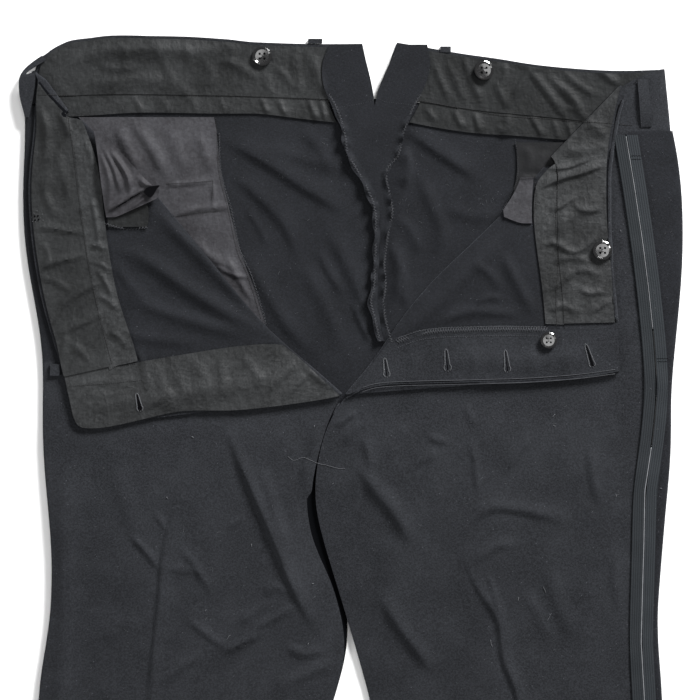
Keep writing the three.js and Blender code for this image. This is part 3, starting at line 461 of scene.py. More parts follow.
# %% Creases of the pockets
POCKET_CREASES = [
    ([(100, 150), (108, 170), (112, 190), (108, 214)], 1.6, 3, 3),
    ([(104, 148), (116, 172), (122, 196)], 1.8, 3, 2),
    ([(110, 150), (128, 176), (132, 198)], 2.2, 3, 2),
    ([(106, 214), (122, 204), (142, 192), (156, 186)], 2.6, 4, 2),
    ([(140, 180), (148, 186), (158, 186)], 2.4, 3, 2), ([(128, 212), (142, 202), (152, 192)], 1.4, 3, 2),
    ([(518, 186), (528, 196), (533, 214)], 0.8, 3, 3),
]
BAG_CREASES = [
    ([(116, 126), (128, 150), (140, 176)], 1.4, 7, 5), ([(132, 122), (152, 150), (166, 178)], 1.4, 7, 4),
    ([(170, 124), (176, 150), (190, 176)], 0.9, 8, 6), ([(196, 132), (206, 156), (212, 176)], 0.9, 6, 4),
    ([(174, 216), (198, 210), (234, 207)], 1.2, 4, 2), ([(166, 186), (190, 184), (212, 181)], 0.9, 3, 1.6),
    ([(190, 236), (212, 258), (242, 272)], 1.0, 6, 4), ([(214, 266), (236, 276), (250, 277)], 0.9, 3, 2),
    ([(212, 182), (214, 196), (212, 208)], 0.8, 2, 2), ([(226, 256), (240, 282), (254, 304)], 0.7, 4, 3),
    ([(518, 178), (528, 179), (540, 177)], 0.9, 3, 2), ([(524, 146), (530, 160), (526, 174)], 0.8, 5, 4),
    ([(546, 150), (540, 162), (538, 176)], 0.8, 5, 4),
]

# %% Layers, from the table up
LAYERS = [     # the height in mm at which each table starts, at which it is fully open, and its strength
    (BACK_CREASES, 0.4, 1.1, 1.2), (BACK_LINING_CREASES, 1.45, 1.75, 1.6), (BAG_CREASES, 1.45, 1.75, 1.5),
    (FRONT_CREASES, 1.2, 2.6, 1.6), (FLAP_CREASES, 5.9, 6.9, 1.5), (FLAP_LINING_CREASES, 8.2, 8.5, 1.8),
    (POCKET_CREASES, 10.9, 11.4, 1.3),
]
BUTTONS = [(262, 57), (483.5, 70), (601, 251), (547.5, 340)]    # they hold the cloth flat round them
BUTTON_CALM = 13                 # squares
print("creases:", sum(len(table) for table, *_ in LAYERS))


# %% [markdown]
# Each crease is a soft ridge along its curve. A point's height depends on how far it is from the curve
# and on which side; the ridge fades in and out at its two ends. numpy does this for all the points of
# a piece at once.

# %% Crease heights
def flowing(path, pieces=5):
    """A smooth curve (Catmull-Rom) through the places of a path."""
    pts = [Vector(p) for p in path]
    pts = [2 * pts[0] - pts[1], *pts, 2 * pts[-1] - pts[-2]]
    curve = []
    for a, b, c, d in zip(pts, pts[1:], pts[2:], pts[3:]):
        for k in range(pieces):
            t = k / pieces
            curve.append(0.5 * (2 * b + (c - a) * t + (2 * a - 5 * b + 4 * c - d) * t ** 2
                                + (3 * b - a - 3 * c + d) * t ** 3))
    return np.array([*curve, pts[-2]])


def smooth(value, low, high):
    t = np.clip((value - low) / (high - low), 0, 1)
    return t * t * (3 - 2 * t)


def crease_height(table, h, v):
    total = np.zeros_like(h)
    for path, height, left, right in table:
        curve = flowing(path)
        reach = 3 * max(left, right)
        low, high = curve.min(0) - reach, curve.max(0) + reach
        near = np.nonzero((h > low[0]) & (h < high[0]) & (v > low[1]) & (v < high[1]))[0]
        if not len(near):
            continue
        a, b = curve[:-1], curve[1:]
        run = np.linalg.norm(b - a, axis=1)
        start = np.concatenate(([0], np.cumsum(run)))
        spot = np.column_stack((h[near], v[near]))
        best = np.full(len(near), 1e9)
        side, along = np.zeros(len(near)), np.zeros(len(near))
        for i, (p, q) in enumerate(zip(a, b)):
            t = np.clip(((spot - p) @ (q - p)) / run[i] ** 2, 0, 1)
            off = spot - p - t[:, None] * (q - p)
            far = np.hypot(*off.T)
            closer = far < best
            best[closer] = far[closer]
            turn = (q - p)[0] * off[:, 1] - (q - p)[1] * off[:, 0]
            side[closer], along[closer] = turn[closer], (start[i] + t * run[i])[closer]
        width = np.where(side < 0, left, right)
        end = start[-1]
        fade = smooth(along, -0.05 * end, 0.3 * end) * (1 - smooth(along, 0.7 * end, 1.05 * end))
        total[near] += height * fade * np.exp(-(best / width) ** 2)
    return total


def uneven(h, v, size, seed):
    """Slow, seeded unevenness from 0 to 1."""
    return np.array([0.5 + 0.5 * noise.noise(Vector((a / size, b / size, seed))) for a, b in zip(h, v)])


UPPER_LEGS, FLAP_WOOL = (1.3, 3.4), (5.9, 6.9)       # the heights in mm at which these layers start


def settle(h, v, z):
    """How far each point is lifted by the creases of its own layer and of those below it."""
    rise = np.zeros_like(z)
    calm = np.ones_like(z)
    for middle_h, middle_v in BUTTONS:
        calm *= 1 - np.exp(-(np.hypot(h - middle_h, v - middle_v) / BUTTON_CALM) ** 2)
    for table, low, high, strength in LAYERS:
        rise += strength * smooth(z, low, high) * crease_height(table, h, v)
    legs = smooth(z, *UPPER_LEGS) * np.maximum(smooth(v, 410, 440), smooth(h, 605, 630))
    soft = (1.1 * uneven(h, v, 48, 3.0) + 0.5 * uneven(h, v, 17, 9.0)) * legs
    return (rise + soft + 0.7 * uneven(h, v, 22, 5.0) * smooth(z, *FLAP_WOOL)) * calm


# %% [markdown]
# ## Cloth from the frame
# Each wall in the frame is a coarse closed sheet. Its triangles are joined back to four-sided cells,
# its cut edges are marked as sharp, and subdivision makes a smooth cloth of it that keeps its outline.
# The upper face of what can be seen from above is then cut once more, for the finest creases.

# %% Refining a wall
SHARP, SHARP_EDGE = math.radians(72), math.radians(52)
SHARP_CORNER = SHARP / 2.4
FACING_UP = 0.35                 # the least upward part of the normal of a face seen from above
FLAPS = place(48, 400), place(600, 0)        # corners of the field that the folded-out flaps hide
UNDER_FLAPS = 0.0065             # and the height below which they hide a leg, in metres
STEEP_SIDE = 0.6                 # the share of height in the run of an edge on a wall's cut side
WELD = 0.00001                   # metres


def refined(node, levels, window):
    """A fine mesh of a node's wall. A window is left, top, right and bottom in squares."""
    bm = bmesh.new()
    bm.from_mesh(nodes[node].data)
    bmesh.ops.remove_doubles(bm, verts=bm.verts, dist=WELD)
    bmesh.ops.join_triangles(bm, faces=bm.faces, angle_face_threshold=SHARP, angle_shape_threshold=math.pi)
    crease = bm.edges.layers.float.new("crease_edge")
    for edge in bm.edges:
        a, b = (vert.co for vert in edge.verts)
        corner = abs(a.z - b.z) > STEEP_SIDE * (a - b).length and edge.calc_face_angle(0) > SHARP_CORNER
        if corner or edge.calc_face_angle(0) > SHARP:
            edge[crease] = 1
    mesh = bpy.data.meshes.new(node)
    bm.to_mesh(mesh)
    bm.free()
    rough = put(node + "_rough", mesh)
    softened = rough.modifiers.new("softened", "SUBSURF")
    softened.levels = softened.render_levels = levels
    seen = rough.evaluated_get(bpy.context.evaluated_depsgraph_get())
    fine = bpy.data.meshes.new_from_object(seen)
    bpy.data.objects.remove(rough)
    if window:
        low, high = place(window[0], window[3]), place(window[2], window[1])
        bm = bmesh.new()
        bm.from_mesh(fine)
        faces = []
        for face in bm.faces:
            spot = face.calc_center_bounds()
            hidden = (node.startswith("front") and FLAPS[0].x < spot.x < FLAPS[1].x
                      and spot.y > FLAPS[0].y and spot.z < UNDER_FLAPS)
            inside = low.x < spot.x < high.x and low.y < spot.y < high.y
            if inside and face.normal.z > FACING_UP and not hidden:
                faces.append(face)
        edges = {edge for face in faces for edge in face.edges}
        bmesh.ops.subdivide_edges(bm, edges=list(edges), cuts=1, use_grid_fill=True)
        bm.to_mesh(fine)
        bm.free()
    return fine


def points_of(mesh):
    flat = np.zeros(len(mesh.vertices) * 3)
    mesh.vertices.foreach_get("co", flat)
    return flat.reshape(-1, 3)


# %% [markdown]
# ## Dressing a wall
# The fine mesh is shaped, settled and coloured, and then takes its wall's place in the frame. It has
# three materials: its own finish, a dark one painted as shade on cut edges, where little light gets in
# between the layers, on the turned-down lining's bevel and on the legs' insides at the fork, and the
# duller inside of the wool for the folded-out fronts.

# %% Dressing a wall
FACE, EDGE, INSIDE = range(3)
STEEP_WOOL, STEEP_LINING = 0.25, 0.55        # a face that looks up less than this is a cut edge
TURNED_END = place(38.4, 82.4)   # the right front's lining is turned down along a slanting line here
TURNED_RUN = Vector((0.73, 0.69, 0))         # across that line
TURNED_REACH = 0.0045            # metres
FORK, FORK_REACH = place(320, 440), 0.03     # where the legs part, and how far their insides show
PICTURE_END = place(0, 720)
made = {}


def painted_shade_edge(node, face, spot, steep):
    """Painted shade: cut edges are dark, and so are the turned-down lining's bevel and the legs' insides at
    the fork.
    """
    # the turned-down lining's bevel is painted dark as the shade of its fold
    bevel = (node == "lining_front_right" and min(face.normal.x, face.normal.y) > 0.12
             and spot.y > place(0, 118).y and (spot - TURNED_END).dot(TURNED_RUN) > -TURNED_REACH)
    # the backs' upper faces at the fork are painted dark as the shade inside the legs
    leg_inside_shade = (node.startswith("back") and face.normal.z > 0 and abs(spot.x - FORK.x) < FORK_REACH
                  and FORK.y > spot.y > PICTURE_END.y)
    return bevel or leg_inside_shade or abs(face.normal.z) < steep


def shows_inside(spot):
    """The folded-out part of a front shows the inside of its cloth."""
    h, v, _ = to_squares(np.array([spot]))
    return v[0] < 362 and h[0] < 560


def dress(node, finish, levels, window=None, shape=None):
    """Replaces a wall by its cloth. shape(h, v, z) may move its points before they settle."""
    mesh = refined(node, levels, window)
    h, v, z = to_squares(points_of(mesh))
    if shape:
        h, v, z = shape(h, v, z)
    z = z + settle(h, v, z)
    moved = np.column_stack(((h - ACROSS) * SQUARE, TOP - (v - DOWN) * SQUARE, z)) * MM
    mesh.vertices.foreach_set("co", moved.ravel())
    mesh.materials.clear()
    for each in (finish, "edge", "wool_inside"):
        mesh.materials.append(FINISHES[each])
    steep = STEEP_WOOL if finish.startswith("wool") else STEEP_LINING
    bm = bmesh.new()
    bm.from_mesh(mesh)
    bm.normal_update()
    for edge in bm.edges:
        edge.smooth = edge.calc_face_angle(0) < SHARP_EDGE
    for face in bm.faces:
        face.smooth = True
        spot = face.calc_center_bounds()
        # these faces take the dark finish as painted shade
        if painted_shade_edge(node, face, spot, steep):
            face.material_index = EDGE
        elif node.startswith("front") and shows_inside(spot):
            face.material_index = INSIDE
        else:
            face.material_index = FACE
    bm.to_mesh(mesh)
    bm.free()
    piece = put(node + "_cloth", mesh)
    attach(piece, "root")
    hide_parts(node)
    made[piece.name] = piece
    print(piece.name, len(mesh.polygons), "faces")
    return piece


# %% [markdown]
# ## The cut
# Every piece was cut flat.

# %% [markdown]
# ## Legs and waistband
# The frame's walls keep clear of each other, as solids have to, where real cloth meets at a seam and
# hangs in soft curves. Each piece gets a small function that moves its points first, so that seams
# close and edges bow, and only then do the creases settle on it.

# %% Legs and waistband
SEEN = (0, 0, 700, 720)
CENTRE_BACK = flowing([(375.2, 92), (376.4, 154.5), (379.9, 212), (379.3, 249.8), (377.6, 300.4),
                       (384.6, 343.9), (371.7, 395.6), (344.6, 449.8), (310.5, 489.8)])


def off_line(line, h, v):
    """For each point, how far it is from a line of squares, and where on the line it meets it."""
    gap = np.full(len(h), 1e9)
    foot = np.zeros((len(h), 2))
    run = np.zeros((len(h), 2))
    for p, q in zip(line, line[1:]):
        length = np.linalg.norm(q - p)
        t = np.clip(((h - p[0]) * (q - p)[0] + (v - p[1]) * (q - p)[1]) / length ** 2, 0, 1)
        spot = p + t[:, None] * (q - p)
        far = np.hypot(spot[:, 0] - h, spot[:, 1] - v)
        closer = far < gap
        gap[closer], foot[closer], run[closer] = far[closer], spot[closer], (q - p) / length
    return gap, foot, run


def joined(line, reach):
    """Draws the edge of a piece onto the seam that it shares."""
    def shape(h, v, z):
        gap, foot, _ = off_line(line, h, v)
        near = np.minimum(gap, reach * (1 - smooth(gap, reach, 4 * reach))) / np.maximum(gap, 0.01)
        near *= smooth(v, line[0][1] + 1, line[0][1] + 8)
        return h + (foot[:, 0] - h) * near, v + (foot[:, 1] - v) * near, z
    return shape


def hanging(h, v):
    """The legs' outer edges bow out a little above the knee."""
    low = smooth(v, 600, 690) * (1 - smooth(v, 760, 900))
    return h + low * (4 * smooth(h, 644, 656) - 4.5 * (1 - smooth(h, 44, 110)))


def backs(h, v, z):
    h, v, z = joined(CENTRE_BACK, 3)(h, v, z)
    return hanging(h, v), v, z


dress("back_left", "wool_inside", 3, (372, 60, 560, 350), backs)
dress("back_right", "wool_inside", 3, (212, 60, 390, 400), backs)


CORNER_H, CORNER_V, CORNER_RADIUS = 86, 417, 10.5


def rounded(h, v, z):
    """The lower corner of the fly catch is rounded, and the wool under it too."""
    far = np.hypot(h - CORNER_H, v - CORNER_V)
    corner = (h < CORNER_H) & (v > CORNER_V) & (v < 440) & (z > 6.3)
    share = np.where(corner, np.minimum(1, CORNER_RADIUS / np.maximum(far, 1)), 1)
    return CORNER_H + (h - CORNER_H) * share, CORNER_V + (v - CORNER_V) * share, z


def parted(h, v, z):
    """The right leg's inner edge stands back at the fork, where the legs part."""
    back = 4.5 * smooth(v, 490, 499) * (1 - smooth(v, 532, 590)) * smooth(h, 292, 309)
    return rounded(hanging(h - back, v), v, z)


dress("front_left", "wool", 3, SEEN, lambda h, v, z: (hanging(h, v), v, z))
dress("front_right", "wool", 3, (48, 215, 340, 680), parted)


def closed_seam(h, v, z):
    """The waistband's lower edge meets the leg at the side, where both lie folded forward."""
    return h, v + 2.4 * smooth(v, 118, 128) * smooth(h, 596, 606) * smooth(z, 2.4, 3.2), z


dress("waistband_left", "wool", 3, (590, 40, 700, 200), closed_seam)


def arched(h, v):
    """The waist's top edge rises towards the side."""
    rise = np.interp(h, (36, 50, 70, 90, 110, 150, 190, 230, 250), (0, 5, 6, 4, 4, 2.5, 2.5, 1.5, 0))
    return v - rise * (1 - smooth(v, 48, 88))


def filled(h, v, z):
    """The waistband's fold reaches out to the belt loop at the corner."""
    out = 4.5 * (1 - smooth(h, 43, 58)) * smooth(v, 56, 62) * (1 - smooth(v, 74, 82))
    return rounded(h - out, arched(h, v) + 1.6 * smooth(v, 93, 101) * (1 - smooth(h, 40, 50)), z)


dress("waistband_right", "wool", 3, None, filled)


# %% [markdown]
# ## Linings
# The frame leaves a narrow slit between the lining and its curtain, where the real ones are sewn
# together. The curtain's seam edge is drawn under the lining here, and its free edge is a little wavy.

# %% Seams of the curtains
SEAMS = {
    "curtain_back_left": [(418, 100.5), (458, 108), (502, 116), (545, 119), (590, 123), (632, 126)],
    "curtain_back_right": [(40, 96), (88, 95.5), (130, 94.8), (196, 96), (262, 97.5), (298, 99.5),
                           (330, 100.5)],
    "curtain_front_left": [(556, 327), (555, 300), (557, 262), (555, 220), (557, 180), (556, 164)],
    "curtain_front_right": [(113, 364), (102, 323), (94, 287), (87, 250), (79, 192), (74, 150), (69, 117)],
}


def drawn_in(node):
    line = flowing(SEAMS[node])

    def shape(h, v, z):
        gap, _, run = off_line(line, h, v)
        upright = np.column_stack((run[:, 1], -run[:, 0]))
        toward = np.sign(upright @ (line.mean(0) - (h.mean(), v.mean())))
        pull = toward * 2.4 * (1 - smooth(gap, 3, 9))
        return h + pull * upright[:, 0], v + pull * upright[:, 1], z - 0.6 * (1 - smooth(gap, 2, 16))

    return shape


def over_catch(h, v, z):
    """The lower end of the folded-out lining lies on the lined fly catch."""
    end = smooth(v, 338, 364)
    return h, v + end * np.interp(h, (62, 112, 118, 137), (11.5, 4, 2, 4)), z + 1.1 * smooth(v, 350, 362)


def drawn_down(h, v, z):
    """The upper end lies below the corner of the waistband, so that its wool shows there."""
    near = 1 - smooth(v, 78, 134)
    return over_catch(h - 3 * near, v + 7 * near, z)


# %% Linings and curtains
# the back-left lining and its curtain take the darker copy, painted with shade
dress("lining_back_left", "lining_deep", 3, SEEN)
dress("lining_back_right", "lining", 3, SEEN, lambda h, v, z: (h, arched(h, v), z))
# the flaps' linings and curtains take the lighter copies, painted with the extra light on them
dress("lining_front_left", "lining_front", 3, SEEN)
dress("lining_front_right", "lining", 3, SEEN, drawn_down)
dress("curtain_back_left", "lining_deep", 3, SEEN, drawn_in("curtain_back_left"))
dress("curtain_back_right", "lining", 3, SEEN, drawn_in("curtain_back_right"))
dress("curtain_front_left", "lining_front", 3, SEEN, drawn_in("curtain_front_left"))
under_lining = drawn_in("curtain_front_right")
dress("curtain_front_right", "lining_lit_pale", 3, SEEN, lambda h, v, z: over_catch(*under_lining(h, v, z)))

# %% [markdown]
# ## Fly and pockets
# The fly catch is faced with lining, the fly facing with wool. Of each pocket bag only the part that
# lies out between back and front can be seen, so it is shown as a flat bag and one turned-back ply.

# %% Fly and pockets
# the fly catch takes the lighter copy of the lining, painted with the extra light on the flap
dress("fly_catch_right", "lining_front", 3, None, rounded)
dress("fly_facing_left", "wool", 3)
dress("pocket_bag_right", "silesia", 3, SEEN)
dress("pocket_bag_left", "pocketing", 3)
dress("pocket_ply_left", "silesia", 2)
dress("pocket_ply_right", "silesia", 3)
dress("pocket_facing_right", "lining_deep", 3)


# %% [markdown]
# ## Seam inlays
# The two inlays of the centre-back seam are pressed open. Their overlocked edges have stretched, so
# they stand up in short waves below the waistband.

# %% Ruffled inlays
OUTER_EDGE = {
    "inlay_right": [(320, 70), (327, 95), (336, 112), (343, 136), (346, 155), (356, 172), (368, 195),
                    (373, 212), (374, 232), (373, 262), (372, 287), (369, 302), (373, 320), (378, 342)],
    "inlay_left": [(432, 70), (422, 95), (413, 112), (404, 136), (400, 155), (388, 172), (391, 195),
                   (394, 212), (390, 232), (386, 262), (387, 287), (385, 302), (387, 320), (393, 342)],
}
INLAY_SEAM = flowing([(374.8, 100), (375.4, 135.6), (377.3, 172), (379.6, 212), (379.6, 232), (378.9, 261.5),
                      (377.7, 287.4), (377.4, 301.5), (379.6, 320), (383.8, 341.5)])
met = joined(INLAY_SEAM, 2.6)


def ruffled(node):
    edge = np.array(OUTER_EDGE[node])
    sign = 1 if node == "inlay_left" else -1

    def shape(h, v, z):
        h, v, z = met(h, v, z)
        inside = sign * (np.interp(v, edge[:, 1], edge[:, 0]) - h)
        free = (1 - smooth(inside, 0, 9)) * smooth(v, 96, 125) * (1 - 0.5 * smooth(v, 300, 345))
        wave = 0.5 + 0.5 * np.sin(v / 3.1 + 1.6 * np.sin(v / 11) + sign)
        return h + sign * free * 1.2 * np.sin(v / 4.3), v, z + free * (1.0 + 2.4 * wave)

    return shape


dress("inlay_left", "wool_inside", 3, SEEN, ruffled("inlay_left"))
dress("inlay_right", "wool_inside", 3, SEEN, ruffled("inlay_right"))


# %% [markdown]
# ## Braid and belt loops
# `across` runs from 0 to 1 over the width of each strip. The finish makes the ribs with it. The loops
# and buttons are right as the frame has them and only need a finish. One loop stands a little nearer
# the centre, so a shifted copy takes its place.

# %% Side braid
def side_of(node, pick):
    """One side of a strip, the left one by min or the right one by max: its rows' y, and x there."""
    coarse = points_of(nodes[node].data)
    ys = np.unique(np.round(coarse[:, 1], 4))
    return ys, [pick(coarse[np.abs(coarse[:, 1] - y) < 2e-4][:, 0]) for y in ys]


def mark_across(piece, node):
    points = points_of(piece.data)
    left, right = (np.interp(points[:, 1], *side_of(node, pick)) for pick in (min, max))
    across = piece.data.attributes.new("across", "FLOAT", "POINT")
    across.data.foreach_set("value", np.clip((points[:, 0] - left) / (right - left), 0, 1))


for node in ("braid_front_left", "braid_back_left", "braid_front_right", "braid_back_right"):
    finish = "braid_back" if "back" in node else "braid"
    mark_across(dress(node, finish, 3, SEEN if "left" in node else None), node)
dress("loop_side_left", "wool", 2, None, lambda h, v, z: (h, v, z - 0.9))
dress("loop_side_right", "wool", 2)


def colour(mesh, finish):
    mesh.materials.clear()
    mesh.materials.append(FINISHES[finish])


for node in ("loop_back_right", "loop_front_right", *(n for n in nodes if n.startswith("button"))):
    colour(nodes[node].data, "wool" if node.startswith("loop") else "button")
mesh = nodes["loop_back_left"].data.copy()
mesh.transform(Matrix.Translation(place(440.7, 52.4) - place(449.3, 50.2)))
colour(mesh, "wool")
tab = put("loop_back_left_cloth", mesh)
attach(tab, "root")
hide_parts("loop_back_left")
made[tab.name] = tab
print("pieces of cloth:", len(made))

# %% [markdown]
# ## Sewing
# Thread is laid on the finished cloth: `top` finds its height anywhere by looking straight down. A
# stitch is a short spindle of eight faces; a cord is a thin tube.

# %% Laying thread
bpy.context.view_layer.update()
graph = bpy.context.evaluated_depsgraph_get()
trees = [BVHTree.FromObject(piece, graph) for piece in made.values()]
trees += [BVHTree.FromObject(nodes[n], graph) for n in nodes if n.startswith("button")]


def top(h, v):
    """Height in mm of the highest cloth at a square."""
    start = place(h, v, 60)
    hits = [tree.ray_cast(start, Vector((0, 0, -1)))[0] for tree in trees]
    return max((hit.z / MM for hit in hits if hit), default=0.0)


def spindle(bm, a, b, thick):
    """A stitch from a to b, both in metres."""
    run = b - a
    side = run.cross(Vector((0, 0, 1))).normalized() * thick
    lift = Vector((0, 0, thick))
    middle = (a + b) / 2
    ring = [bm.verts.new(middle + off) for off in (side, lift, -side, -lift)]
    ends = [bm.verts.new(p) for p in (a, b)]
    for i in range(4):
        bm.faces.new((ends[0], ring[i], ring[(i + 1) % 4]))
        bm.faces.new((ends[1], ring[(i + 1) % 4], ring[i]))


def tube(bm, path, radius, sides=5):
    """A tube through places in metres. Its radius is one value, or one for each place."""
    turns = [k * math.tau / sides for k in range(sides)]
    rings = []
    for i, p in enumerate(path):
        run = (path[min(i + 1, len(path) - 1)] - path[max(i - 1, 0)]).normalized()
        side = run.cross(Vector((0, 0, 1))).normalized()
        up = side.cross(run)
        r = radius[i] if hasattr(radius, "__len__") else radius
        rings.append([bm.verts.new(p + r * (math.cos(t) * side + math.sin(t) * up)) for t in turns])
    for one, two in zip(rings, rings[1:]):
        for k in range(sides):
            bm.faces.new((one[k], one[(k + 1) % sides], two[(k + 1) % sides], two[k]))
    bm.faces.new(rings[0][::-1])
    bm.faces.new(rings[-1])


def evenly(path, gap):
    """Places every gap squares along a path, each with its direction."""
    curve = flowing(path, 8)
    run = np.concatenate(([0], np.cumsum(np.linalg.norm(np.diff(curve, axis=0), axis=1))))
    marks = np.arange(gap / 2, run[-1], gap)
    spots = np.column_stack([np.interp(marks, run, curve[:, i]) for i in (0, 1)])
    ahead = np.column_stack([np.interp(marks + 0.5, run, curve[:, i]) for i in (0, 1)])
    behind = np.column_stack([np.interp(marks - 0.5, run, curve[:, i]) for i in (0, 1)])
    return [(Vector(p), Vector(d).normalized()) for p, d in zip(spots, ahead - behind)]


def finish_piece(name, bm, material):
    mesh = bpy.data.meshes.new(name)
    bmesh.ops.recalc_face_normals(bm, faces=bm.faces)
    bm.to_mesh(mesh)
    bm.free()
    mesh.polygons.foreach_set("use_smooth", [True] * len(mesh.polygons))
    mesh.materials.append(FINISHES[material])
    piece = put(name, mesh)
    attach(piece, "root")
    made[name] = piece
    print(name, len(mesh.polygons), "faces")
    return piece


def stitches(bm, path, gap, length, thick, angle=0.0, sway=0.0, lift=0.12, ruffle=0.0):
    """Stitches along a path, all at an angle to it; sway makes every other one lean the other way."""
    chance = random.Random(7)
    for i, (p, run) in enumerate(evenly(path, gap)):
        lean = angle + (sway if i % 2 else -sway) + chance.uniform(-1, 1) * ruffle
        across = Matrix.Rotation(math.radians(lean), 2) @ run * length / 2
        level = max(top(*(p - across)), top(*(p + across))) + lift
        spindle(bm, place(*(p - across), level), place(*(p + across), level), thick * MM)


def sewn(name, thread, rows):
    """One piece of many stitches. A row is its path and what stitches() takes after it."""
    bm = bmesh.new()
    for path, *settings in rows:
        stitches(bm, path, *settings)
    finish_piece(name, bm, thread)


# %% [markdown]
# ## Overlock and topstitching
# The fly facing, the inlays and the pocket bags are overlocked. Fine rows of stitches run along the
# curtain seams, round the pocket and through the waistband.

# %% Rows of stitches
FLY_EDGE = [(397, 338.5), (418, 331), (440, 328), (466, 327), (492, 326.5), (520, 326.5), (546, 327)]
sewn("fly_overlock", "overlock_thread",
     [([(h, v + down) for h, v in FLY_EDGE], *settings)
      for down, *settings in ((3.2, 1.25, 8.6, 0.22, 90, 22, 0.3, 9), (0.2, 1.6, 2.6, 0.22, 0, 35, 0.3, 9),
                              (9.4, 2.2, 1.8, 0.2, 0, 12, 0.3, 9))])
sewn("inlay_overlock", "overlock_thread",
     [([(h + inward, v) for h, v in OUTER_EDGE[node] if v > 90], 1.5, 4.2, 0.24, 90, 25, 0.15, 12)
      for node, inward in (("inlay_right", 1.8), ("inlay_left", -1.8))])
CATCH_ROWS = [(70, 386), (92, 384.5), (114, 383), (144, 380)], [(113, 367), (136, 364)]
sewn("curtain_stitches", "black_thread",
     [(line, 1.7, 2.0, 0.32, 0, 6, 0.12) for line in SEAMS.values()]
     + [(line, 2.0, 1.5, 0.28, 0, 8, 0.12) for line in CATCH_ROWS])
WAIST_ROWS = ([(320, 112), (338, 108), (356, 105), (374, 101)],
              [(377, 98), (385, 102), (400, 104), (416, 106)], [(640, 84), (641, 100), (640.5, 127)])
sewn("seam_stitches", "grey_thread", [(line, 2.4, 1.5, 0.14, 0, 0, 0.1) for line in WAIST_ROWS])

# %% Pocket stitches
POCKET_ROWS = (
    [(166, 184), (190, 183), (213, 181)], [(213, 181), (213, 190), (212, 200)],
    [(172, 217), (198, 213), (220, 211)],
    [(215.5, 118), (217, 133), (219, 172), (228, 208), (237, 250), (248, 276), (261, 318)],
    [(518, 179), (526, 179.5), (535, 178)], [(534, 181), (535.5, 198), (533, 216)],
)
sewn("pocket_stitches", "black_thread",
     [(line, 1.9, 1.7, 0.3, 0, 10, 0.2, 6) for line in POCKET_ROWS])
# a flat dark sheet, painted as the shade in the pocket's crumpled mouth
bm = bmesh.new()                 # the dark hollow inside the pocket's crumpled mouth
hole = flowing([(145, 193), (147.5, 189.5), (153, 187.4), (161, 186.6), (158, 190.5), (155.5, 195),
                (152, 198.5), (148, 196.5), (145, 193)], 4)[:-1]
level = max(top(*p) for p in hole) + 0.3
bm.faces.new([bm.verts.new(place(*p, level)) for p in reversed(hole)])
finish_piece("pocket_mouth_shade", bm, "shadow")
sewn("pocket_overlock", "overlock_thread", [
    ([(219, 133), (221, 172), (231, 209), (240, 250), (252, 277), (266, 324)],
     1.5, 3.2, 0.2, 90, 28, 0.2, 20),
    ([(106, 224), (118, 228), (132, 229.5), (149, 228)], 1.5, 3.6, 0.24, 90, 28, 0.2, 12),
    ([(515, 139), (517, 160), (517, 179), (509, 198), (500, 214)], 1.8, 2.0, 0.14, 90, 24)])
print("pieces with their stitches:", len(made))

# %% [markdown]
# ## Buttonholes
# Each is a slit with a round eye at one end, bound all round with pale purl stitches. The slit is a
# dark strip just above the cloth, painted as the shade in its opening, and every purl is one short
# stitch across the slit's outline.


# %% Buttonholes
def buttonhole(slit_bm, purl_bm, a, b, eye, gape):
    """A keyhole from its narrow end a to its round eye at b."""
    a, b = Vector(a), Vector(b)
    length = (b - a).length
    run = (b - a) / length
    side = Vector((-run.y, run.x))

    def half(t):
        round_eye = math.sqrt(max(eye ** 2 - ((t - 1) * length + eye) ** 2, 0))
        return max(round_eye, (1.3 + 1.6 * t) * math.sqrt(min(t * 9, 1)) * (t * length < length - eye))

    steps = [k / 30 for k in range(31)]
    outline = [a + run * t * length + side * half(t) for t in steps]
    outline += [a + run * t * length - side * half(t) for t in reversed(steps[:-1])]
    for p, q in zip(outline, outline[1:]):
        if (q - p).length > 0.05:
            out = Vector((-(q - p).y, (q - p).x)).normalized()
            ends = [place(*(p + out * w), top(*(p + out * w)) + 0.3) for w in (-0.8, 0.8)]
            spindle(purl_bm, *ends, 0.3 * MM)
    rows = []
    for t in steps[1:-1]:
        m = a + run * t * length
        rows.append([slit_bm.verts.new(place(*(m + side * w), top(*m) + 0.16)) for w in
                     (gape * half(t), -gape * half(t))])
    for one, two in zip(rows, rows[1:]):
        slit_bm.faces.new((one[0], one[1], two[1], two[0]))


BUTTONHOLES = [                  # narrow end, round end, radius of the eye, and how far it gapes
    ((384.5, 358), (387, 377), 3.2, 0.16), ((445.5, 349), (447.5, 371), 3.6, 0.16),
    ((504.5, 350), (507, 372), 3.2, 0.16), ((584.5, 344), (592, 367), 3.0, 0.5),
    ((137.5, 393), (141.5, 411), 3.0, 0.7),
]
slit_bm, purl_bm = bmesh.new(), bmesh.new()
for hole in BUTTONHOLES:
    buttonhole(slit_bm, purl_bm, *hole)
# the slits are dark strips painted as the shade in the openings
finish_piece("buttonhole_slit_shade", slit_bm, "shadow")
finish_piece("buttonhole_purls", purl_bm, "pale_thread")

# %% [markdown]
# ## Cords, piping and marks
# A pale cord fills the outseam between the two strips of braid, with a dark stretch in the middle.
# The fly's lower edge is doubled, with a fine piping under it. The left flap's fold is a rolled rim,
# with thin dark tubes beside it painted as its shade. Four little knots show where a brace button was.

# %% Cords
edges = [side_of(*strip) for strip in (("braid_front_left", max), ("braid_back_left", min))]
ys = edges[1][0]
outseam_h, outseam_v, _ = to_squares(np.column_stack((np.mean([xs for _, xs in edges], axis=0), ys, ys * 0)))


def outseam(v):
    return float(np.interp(v, outseam_v[::-1], outseam_h[::-1]))


